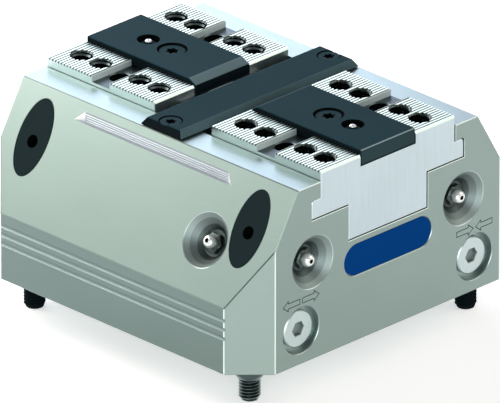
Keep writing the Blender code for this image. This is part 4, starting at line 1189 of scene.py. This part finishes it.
def makeSleeves():
    low, high = boxOf("locating_sleeve_front")
    bottom = low.z + sleeve["short"]
    shoulder = bottom + sleeve["taper"]
    bore = sleeve["bore"]
    nose = sleeve["nose"]
    radius = sleeve["radius"]
    bm = lathe(bmesh.new(), [
        (bore, bottom), (nose - 0.1, bottom), (nose, bottom + 0.15), (radius - 0.1, shoulder - 0.1),
        (radius, shoulder + 0.2), (radius, high.z), (bore, high.z),
    ], 72, closed=True)
    places = {name: shift(*screwPlaces[name]) for name in ("front", "rear")}
    addSet(meshFrom("sleeve_front", bm, "sleeve"), "sleeve_", "locating_sleeve_", places)


# Cap plugs

cap = {
    "skirt": 6,
    "hole": 2.4,
    "holeDepth": 5,
    "holeDrop": 1.6,  # down the slope from the cap's axis
    "edge": 0.15,
    "set": 0.1,
    "gap": 0.05,
}


def makeCaps():
    radius = mounting["counterbore"] - cap["gap"]
    rise = radius * math.tan(body["slopeAngle"])
    bm = lathe(bmesh.new(), [(radius, -rise - cap["skirt"]), (radius, rise + past)], 96)
    cutPlane(bm, -cap["set"] * slopeNormal, slopeNormal)
    thing = meshFrom("cap_front", bm, "capPlastic")
    hole = cap["hole"]
    edge = cap["edge"]
    rings = [(hole, -cap["holeDepth"]), (hole, -edge), (hole + edge + past, past)]
    bm = lathe(bmesh.new(), rings, 48, faceFrame(cap["holeDrop"] * slopeDown, slopeNormal))
    # painted shade in the cap's hole
    carve(thing, [bm], "holeDark")
    height = slopeZ(mountY)
    places = {name: shift(x, y, height) @ (halfTurn if y > 0 else Matrix())
              for name, (x, y) in screwPlaces.items()}
    addSet(thing, "cap_", "cap_plug_", places)


# Grease nipples and port plugs

def makeNipples():
    seat = -nipple["recessDepth"] + 0.05
    tip = -nipple["tip"]
    ball = nipple["ball"]
    hexagon = nipple["hex"]
    hole = nipple["hole"]
    crown = [(ball * math.cos(a), tip - 1.9 + ball * math.sin(a)) for a in
             [math.radians(turn) for turn in (-42, -30, -15, 0, 15, 30, 42)]]
    bm = lathe(bmesh.new(), [
        (hexagon - 0.25, seat, "hex"), (hexagon, seat + 0.2, "hex"), (hexagon, seat + 1.3, "hex"),
        (hexagon - 0.2, seat + 1.6), (nipple["neck"], seat + 1.75), *crown, (ball * 0.6, tip - 0.04),
        (ball * 0.5, tip), (hole, tip), (hole, tip - 1.2), (0, tip - 1.3),
    ], 60)
    thing = meshFrom("nipple_end_front", bm, "nippleSteel")
    # painted shade on the hex base, down in the recess
    paint(thing, "nippleShank", lambda point, normal: point.z < seat + 1.9)
    # painted shade in the nipple's hole
    paint(thing, "holeDark", lambda point, normal: point.xy.length < hole + 0.02 and point.z > -3)
    addSet(thing, "nipple_", "grease_nipple_", nipplePlaces)


plateNipple = {
    "outline": ((2.9, -1.4), (2.7, -1.2), (1.4, -1.2), (1.35, -0.4), (1.2, -0.15), (0.9, 0),
                (0.45, 0), (0.4, -0.8), (0, -0.9)),  # radius, and height from the tip
    "collarTop": 0.7,  # below the tip, where the dark collar ends
    "hole": 0.44,
}


def makePlateNipples():
    low, high = boxOf("plate_nipple_right")
    tip = high.z
    outline = [(radius, tip + height) for radius, height in plateNipple["outline"]]
    bm = lathe(bmesh.new(), [(outline[0][0], low.z), *outline], 48)
    thing = meshFrom("small_nipple_right", bm, "nippleSteel")
    paint(thing, "capPlastic", lambda point, normal: point.z < tip - plateNipple["collarTop"])
    # painted shade in the small nipple's hole
    paint(thing, "nippleShank", lambda point, normal: point.xy.length < plateNipple["hole"]
          and point.z > tip - 0.85)
    thing.data.transform(shift(plateNippleX, 0))
    addJawPair(thing, "small_nipple", "plate_nipple")


def makePortPlugs():
    seat = -port["sinkDepth"] + 0.05
    face = -port["plugSet"]
    lip = port["plugChamfer"]
    plug = port["plug"]
    hexagon = port["hex"]
    bm = lathe(bmesh.new(), [
        (plug, seat), (plug, face - lip), (plug - lip, face), (hexagon + 0.25, face, "hex"),
        (hexagon, face - 0.25, "hex"), (hexagon, face - 1.5, "hex"), (0, face - 1.6),
    ], 96)
    thing = meshFrom("air_plug_open", bm, "plugSteel")
    # painted shade in the hex socket
    paint(thing, "socket", lambda point, normal: point.xy.length < hexagon * 1.2
          and seat + 0.2 < point.z < face - 0.1)
    addSet(thing, "air_plug_", "port_plug_", portPlaces)


# Cylinder cover in the base

coverScrew = {
    "outline": ((4.25, 5.4), (4.25, 0.5), (3.9, 0.2), (2.1, 0.2, "hex"), (2, 0.4, "hex"), (2, 2.8, "hex"),
                (0, 3)),  # radius and height
}


def makeCover():
    radius = coverHigh.x
    edge = cover["edge"]
    bm = lathe(bmesh.new(), [(radius - edge, 0), (radius, edge), (radius, cover["flange"])], 128)
    thing = meshFrom("base_cover", bm, "bodySteel")
    circle = radius - cover["land"] / 2
    turns = [2 * math.pi * i / cover["screws"] for i in range(cover["screws"])]
    places = {str(i + 1): shift(circle * math.cos(a), circle * math.sin(a)) for i, a in enumerate(turns)}
    sink = cover["sink"]
    lip = cover["sinkEdge"]
    bm = bmesh.new()
    for place in places.values():
        lathe(bm, [(sink + lip + past, -past), (sink, lip), (sink, cover["sinkDepth"])], 48, place)
    carve(thing, [bm])
    addPiece(thing, "housing", "cylinder_cover")
    thing = meshFrom("cover_cap_screw_1", lathe(bmesh.new(), list(coverScrew["outline"]), 48), "screw")
    addSet(thing, "cover_cap_screw_", "cover_screw_", places)


for make in (makeBody, makeBadge, makeJaws, makePlates, makeBridge, makeStarScrews, makeMountingScrews,
             makeSleeves, makeCaps, makeNipples, makePlateNipples, makePortPlugs, makeCover):
    make()
    print(make.__name__, "done")

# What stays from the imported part: inner pieces that show only from below or in a gap

inner = {
    "rod_seal": "sealRubber",
    "cover_seal": "sealRubber",
    "piston_seal": "sealRubber",
    "wedge_hook": "hookSteel",
    "piston": "piston",
    "clamp_screw": "screw",
}
for node, look in inner.items():
    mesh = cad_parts[node].data
    mesh.materials.clear()
    mesh.materials.append(finishes[look])
    mesh.shade_smooth()
    mesh.set_sharp_from_angle(angle=math.radians(30))
print("inner pieces dressed:", len(inner))

# Floor, light and camera

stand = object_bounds()[0].z
studio = {
    "floor": 400,  # metres across
    "floorColor": (0.8, 0.8, 0.8),
    "floorGlow": 0.47,  # added where the floor is seen, also in a reflection
    "world": (1.0, 1.0, 1.0),
    "worldStrength": 0.1,
}


def addFloor():
    half = studio["floor"] / 2
    corners = ((-half, -half), (half, -half), (half, half), (-half, half))
    bm = bmesh.new()
    bm.faces.new([bm.verts.new((x, y, stand)) for x, y in corners])
    floor = meshFrom("floor", bm)
    finish = Finish("floorLook", {"color": studio["floorColor"], "roughness": 0.8, "metallic": 0})
    direct, mirrored, through = [finish.node("ShaderNodeLightPath", out=ray) for ray in
                                 ("Is Camera Ray", "Is Glossy Ray", "Is Transmission Ray")]
    seen = finish.blend(direct + mirrored + through, (0, 0, 0, 1), (1, 1, 1, 1))
    finish.feed("Emission Color", seen)
    finish.fix("Emission Strength", studio["floorGlow"])
    finish.fix("Specular IOR Level", 0)
    floor.data.materials.append(finish.material)


def wayTo(azimuth, elevation):
    # from the object, angles in degrees; azimuth 0 is the front
    a = math.radians(azimuth)
    e = math.radians(elevation)
    return Vector((math.sin(a) * math.cos(e), -math.cos(a) * math.cos(e), math.sin(e)))


def addLamp(name, azimuth, elevation, distance, size, power, color):
    data = bpy.data.lights.new(name, "AREA")
    data.shape = "DISK"
    data.size = size
    data.energy = power
    data.color = color
    lamp = newObject(name, data)
    way = wayTo(azimuth, elevation)
    lamp.location = way * distance
    lamp.rotation_euler = way.to_track_quat("Z", "Y").to_euler()


lamps = {  # azimuth, elevation, distance, size, power, colour
    "key": (138, 36, 1.2, 1.2, 7, (1, 0.93, 0.86)),
    "left": (-48, 24, 1.2, 0.9, 2.5, (0.94, 0.97, 0.93)),
    "upper": (-64, 38, 0.5, 0.3, 1.7, (1, 0.91, 0.86)),
    "back": (-118.7, 25, 0.9, 0.7, 5.3, (0.78, 0.81, 1)),
    "front": (45, 12, 1.2, 0.9, 10.5, (1, 1, 1)),
    "over": (0, 88, 1.2, 0.9, 0.6, (1, 1, 1)),
}

camera = {
    "azimuth": 45.134,
    "elevation": 24.862,
    "distance": 6.4,
    "frameWidth": 0.179949,
    "sensor": 36,  # in millimetres
    "target": (0, 0, 0.035),
    "right": -0.00004,
    "up": -0.007606,
}


def addCamera():
    turn = math.radians(camera["azimuth"])
    back = wayTo(camera["azimuth"], camera["elevation"])
    right = Vector((math.cos(turn), math.sin(turn), 0))
    up = back.cross(right)
    data = bpy.data.cameras.new("camera")
    data.sensor_width = camera["sensor"]
    data.lens = camera["sensor"] * camera["distance"] / camera["frameWidth"]
    data.clip_start = 0.1
    data.clip_end = 1000
    thing = newObject("camera", data)
    middle = Vector(camera["target"]) + right * camera["right"] + up * camera["up"]
    thing.location = middle + back * camera["distance"]
    thing.rotation_euler = Matrix((right, up, back)).transposed().to_euler()
    bpy.context.scene.camera = thing


def addWorld():
    world = bpy.data.worlds.new("studio")
    world.use_nodes = True
    background = world.node_tree.nodes["Background"]
    background.inputs["Color"].default_value = (*studio["world"], 1)
    background.inputs["Strength"].default_value = studio["worldStrength"]
    bpy.context.scene.world = world


addFloor()
for name, values in lamps.items():
    addLamp(name, *values)
addWorld()
addCamera()
bpy.context.scene.view_settings.view_transform = "Standard"
print("studio made")
